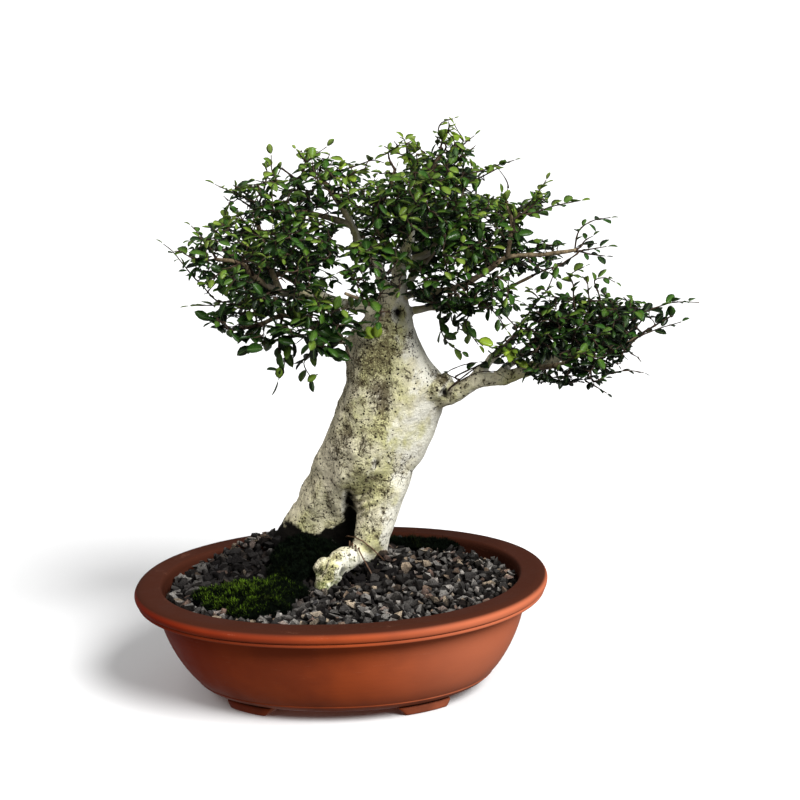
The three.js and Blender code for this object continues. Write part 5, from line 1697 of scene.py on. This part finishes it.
class BonsaiWood(bpy.types.PropertyGroup):
    """The trunk and branches."""

    skin_detail: length_of("Skin detail", "Width of the faces of the trunk's skin", 0.0016)
    bark_pale: colour_of("Pale bark", "The trunk's cream bark", (0.77, 0.72, 0.51))
    bark_olive: colour_of("Olive bark", "The trunk's olive mottles", (0.62, 0.60, 0.29))
    # Painted light on the trunk's right side and on its left side.
    bark_lit_right: colour_of("White bark", "The trunk's right side", (0.92, 0.90, 0.79))
    bark_lit_left: colour_of("Rosy bark", "The trunk's left side", (0.84, 0.75, 0.55))
    bark_grey: colour_of("Grey bark", "The trunk's grey mottles", (0.36, 0.31, 0.18))
    bark_dark: colour_of("Dark bark", "Streaks and fine grain", (0.085, 0.062, 0.030))
    bark_crack: colour_of("Cracks", "The brown of fine cracks", (0.040, 0.026, 0.012))
    bark_young: colour_of("Young bark", "Bark of thin branches", (0.27, 0.205, 0.12))
    bark_young_dark: colour_of("Dark young bark", "Dark streaks of thin branches", (0.060, 0.042, 0.026))
    bark_mossy: colour_of("Mossy bark", "Algae and moss near the ground", (0.10, 0.14, 0.030))


class BonsaiFoliage(bpy.types.PropertyGroup):
    """The leaves and the twigs that carry them."""

    seed: IntProperty(name="Seed", description="Draws another crown of the same form", default=7, min=0)
    leaf_small: length_of("Smallest leaf", "Length of the smallest leaves", 0.0085)
    leaf_large: length_of("Largest leaf", "Length of the largest leaves", 0.0190)
    leaf_pitch: length_of("Leaf pitch", "From one leaf to the next along a twig", 0.0044)
    twig_spacing: length_of("Twig spacing", "From one twig's tip to the next", 0.0112)
    leaf_shaded_deep: colour_of("Deep green", "Leaves inside the crown", (0.004, 0.013, 0.004))
    # Painted shade deep in the crown and painted light high on it.
    leaf_green: colour_of("Green", "Leaves half way out", (0.034, 0.100, 0.010))
    leaf_lit_olive: colour_of("Olive green", "Leaves on top of the crown", (0.20, 0.28, 0.036))
    leaf_young: colour_of("Young leaf", "The palest new leaves", (0.27, 0.39, 0.03))
    leaf_under: colour_of("Leaf underside", "The dull lower side", (0.085, 0.125, 0.045))
    leaf_vein: colour_of("Veins", "Midrib and side veins", (0.20, 0.30, 0.09))
    twig_dark: colour_of("Dark twig", "Bark of the finest twigs", (0.018, 0.012, 0.009))
    twig_brown: colour_of("Brown twig", "Lighter bark of fine twigs", (0.065, 0.040, 0.025))


class BonsaiGround(bpy.types.PropertyGroup):
    """The gravel, the moss and the wire on the ground in the pot."""

    seed: IntProperty(name="Seed", description="Draws another bed of gravel", default=11, min=0)
    stone_pitch: length_of("Stone pitch", "From one stone to the next", 0.0075)
    stone_small: length_of("Smallest stone", "Width of the smallest stones", 0.0064)
    stone_large: length_of("Largest stone", "Width of the largest stones", 0.0150)
    moss_bright: colour_of("Bright moss", "Tips of the front moss", (0.17, 0.31, 0.018))
    moss_dark: colour_of("Dark moss", "Depths of the front moss", (0.0010, 0.003, 0.0008))
    moss_shaded: colour_of("Shaded moss", "Tips of the moss behind", (0.009, 0.017, 0.004))
    wire_radius: length_of("Wire radius", "Half the wire's thickness", 0.0006)
    wire_colour: colour_of("Wire", "The wire's brown", (0.075, 0.038, 0.020))


class BonsaiStage(bpy.types.PropertyGroup):
    """The studio: floor, lights and camera."""

    floor_colour: colour_of("Floor", "The pale floor", (0.86, 0.86, 0.86))
    world: strength_of("Surroundings", "Strength of the soft light all round", 0.30)
    key: strength_of("Key light", "Strength of the large light at the front right", 5.4)
    fill: strength_of("Fill light", "Strength of the soft light above at the left", 0.9)
    softness: FloatProperty(name="Softness", description="How wide the key light looks from the bonsai",
                            default=0.5, subtype="ANGLE", min=0.0)
    focal: FloatProperty(name="Focal length", description="The camera's focal length", default=105.75,
                         unit="CAMERA", min=10.0)


def look_from(thing, place, target, roll=0.0):
    """Puts a light or camera at a place, looking at a target, turned about its own line of sight."""
    place, target = Vector(from_pot(place)), Vector(from_pot(target))
    turn = (place - target).to_track_quat("Z", "Y").to_matrix().to_4x4()
    thing.matrix_world = Matrix.Translation(place) @ turn @ Matrix.Rotation(math.radians(roll), 4, "Z")


def add_sun(name, strength, width, place):
    """A light far away that looks at the bonsai from a place and seems so wide from there."""
    light = bpy.data.lights.new(name, "SUN")
    light.energy = strength
    light.angle = width
    look_from(linked(name, light), place, CAMERA_TARGET)


class BONSAI_OT_pot(bpy.types.Operator):
    """Turns the oval pot, its feet and its drainage holes"""

    bl_idname = "bonsai.make_pot"
    bl_label = "Make Pot"

    def execute(self, context):
        pot = context.scene.bonsai_pot
        half_length, half_depth = pot.length / 2 / MM, pot.depth / 2 / MM
        skin = Skin()
        add_turned(skin, pot_outline(half_length, pot.height / MM), half_length, half_depth)
        body = skin.piece("training_pot", [plastic_finish(pot)])
        drill_drains(body)
        feet = Skin()
        for sign_x, sign_y in ((1, 1), (1, -1), (-1, 1), (-1, -1)):
            add_foot(feet, sign_x, sign_y, half_length, half_depth)
        feet = feet.piece("pot_feet", [body.data.materials[0]])
        settle(body, "pot", "pot")
        settle(feet, "pot", "pot")
        return {"FINISHED"}


class BONSAI_OT_ground(bpy.types.Operator):
    """Finishes the soil and drain meshes, and lays the gravel"""

    bl_idname = "bonsai.make_ground"
    bl_label = "Make Ground"

    def execute(self, context):
        for node, material in (("soil", soil_finish()), ("drain_mesh_left", mesh_finish()),
                               ("drain_mesh_right", mesh_finish())):
            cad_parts[node].material_slots[0].material = material
        make_gravel(context.scene.bonsai_ground, context.scene.bonsai_pot)
        make_wire(context.scene.bonsai_ground)
        return {"FINISHED"}


class BONSAI_OT_moss(bpy.types.Operator):
    """Grows the three patches of moss"""

    bl_idname = "bonsai.make_moss"
    bl_label = "Make Moss"

    def execute(self, context):
        ground = context.scene.bonsai_ground
        bright = moss_finish("moss_in_light", ground.moss_dark, ground.moss_bright)
        shaded = moss_finish("moss_in_shade", ground.moss_dark, ground.moss_shaded)
        for name, patch in MOSS.items():
            make_moss(name, patch, ground, bright if name == "moss_front" else shaded)
        return {"FINISHED"}


class BONSAI_OT_tree(bpy.types.Operator):
    """Grows the trunk, the roots and the branches"""

    bl_idname = "bonsai.make_tree"
    bl_label = "Make Tree"

    def execute(self, context):
        make_tree(context.scene.bonsai_wood)
        return {"FINISHED"}


class BONSAI_OT_foliage(bpy.types.Operator):
    """Grows the twigs and leaves of the crown"""

    bl_idname = "bonsai.make_foliage"
    bl_label = "Make Foliage"

    def execute(self, context):
        foliage = context.scene.bonsai_foliage
        Crown(foliage, [leaf_finish(foliage), twig_finish(foliage)]).grow()
        return {"FINISHED"}


class BONSAI_OT_stage(bpy.types.Operator):
    """Sets the floor, the lights and the camera"""

    bl_idname = "bonsai.make_stage"
    bl_label = "Make Stage"

    def execute(self, context):
        scene, stage = context.scene, context.scene.bonsai_stage
        sheet = bmesh.new()
        bmesh.ops.create_grid(sheet, x_segments=8, y_segments=8, size=FLOOR_REACH)
        mesh = bpy.data.meshes.new("studio_floor")
        sheet.to_mesh(mesh)
        sheet.free()
        mesh.materials.append(floor_finish(stage))
        floor = linked("studio_floor", mesh)
        floor.visible_diffuse = False
        floor.visible_glossy = False
        world = bpy.data.worlds.new("studio")
        world.use_nodes = True
        background = world.node_tree.nodes["Background"]
        background.inputs["Color"].default_value = (1.0, 1.0, 1.0, 1.0)
        background.inputs["Strength"].default_value = stage.world
        scene.world = world
        add_sun("key_light", stage.key, stage.softness, KEY_PLACE)
        add_sun("fill_light", stage.fill, FILL_WIDER * stage.softness, FILL_PLACE)
        lens = bpy.data.cameras.new("camera")
        lens.lens = stage.focal
        lens.sensor_width = SENSOR_WIDTH
        camera = linked("camera", lens)
        look_from(camera, camera_place(), CAMERA_TARGET, CAMERA_ROLL)
        scene.camera = camera
        scene.view_settings.view_transform = "Standard"
        return {"FINISHED"}


class BONSAI_PT_panel(bpy.types.Panel):
    """The bonsai's pieces and their sizes"""

    bl_label = "Chinese Elm Bonsai"
    bl_idname = "BONSAI_PT_panel"
    bl_space_type = "VIEW_3D"
    bl_region_type = "UI"
    bl_category = "Bonsai"

    def draw(self, context):
        for group, operators in PANEL:
            box = self.layout.box()
            settings = getattr(context.scene, group)
            for key in settings.__annotations__:
                box.prop(settings, key)
            for operator in operators:
                box.operator(operator)


PANEL = (
    ("bonsai_pot", ("bonsai.make_pot",)),
    ("bonsai_ground", ("bonsai.make_ground", "bonsai.make_moss")),
    ("bonsai_wood", ("bonsai.make_tree",)),
    ("bonsai_foliage", ("bonsai.make_foliage",)),
    ("bonsai_stage", ("bonsai.make_stage",)),
)
GROUPS = {
    "bonsai_pot": BonsaiPot, "bonsai_ground": BonsaiGround, "bonsai_wood": BonsaiWood,
    "bonsai_foliage": BonsaiFoliage, "bonsai_stage": BonsaiStage,
}
CLASSES = (
    *GROUPS.values(), BONSAI_OT_pot, BONSAI_OT_ground, BONSAI_OT_moss, BONSAI_OT_tree, BONSAI_OT_foliage,
    BONSAI_OT_stage, BONSAI_PT_panel,
)


def register():
    """Makes the classes known to Blender, and gives the scene its settings."""
    for item in CLASSES:
        bpy.utils.register_class(item)
    for name, group in GROUPS.items():
        setattr(bpy.types.Scene, name, PointerProperty(type=group))


def unregister():
    """Takes the settings and the classes away again."""
    for name in GROUPS:
        delattr(bpy.types.Scene, name)
    for item in reversed(CLASSES):
        bpy.utils.unregister_class(item)


def main():
    """Builds the whole bonsai and its stage."""
    register()
    bpy.ops.bonsai.make_stage()
    bpy.ops.bonsai.make_pot()
    bpy.ops.bonsai.make_ground()
    bpy.ops.bonsai.make_moss()
    bpy.ops.bonsai.make_tree()
    bpy.ops.bonsai.make_foliage()


if __name__ == "__main__":
    main()
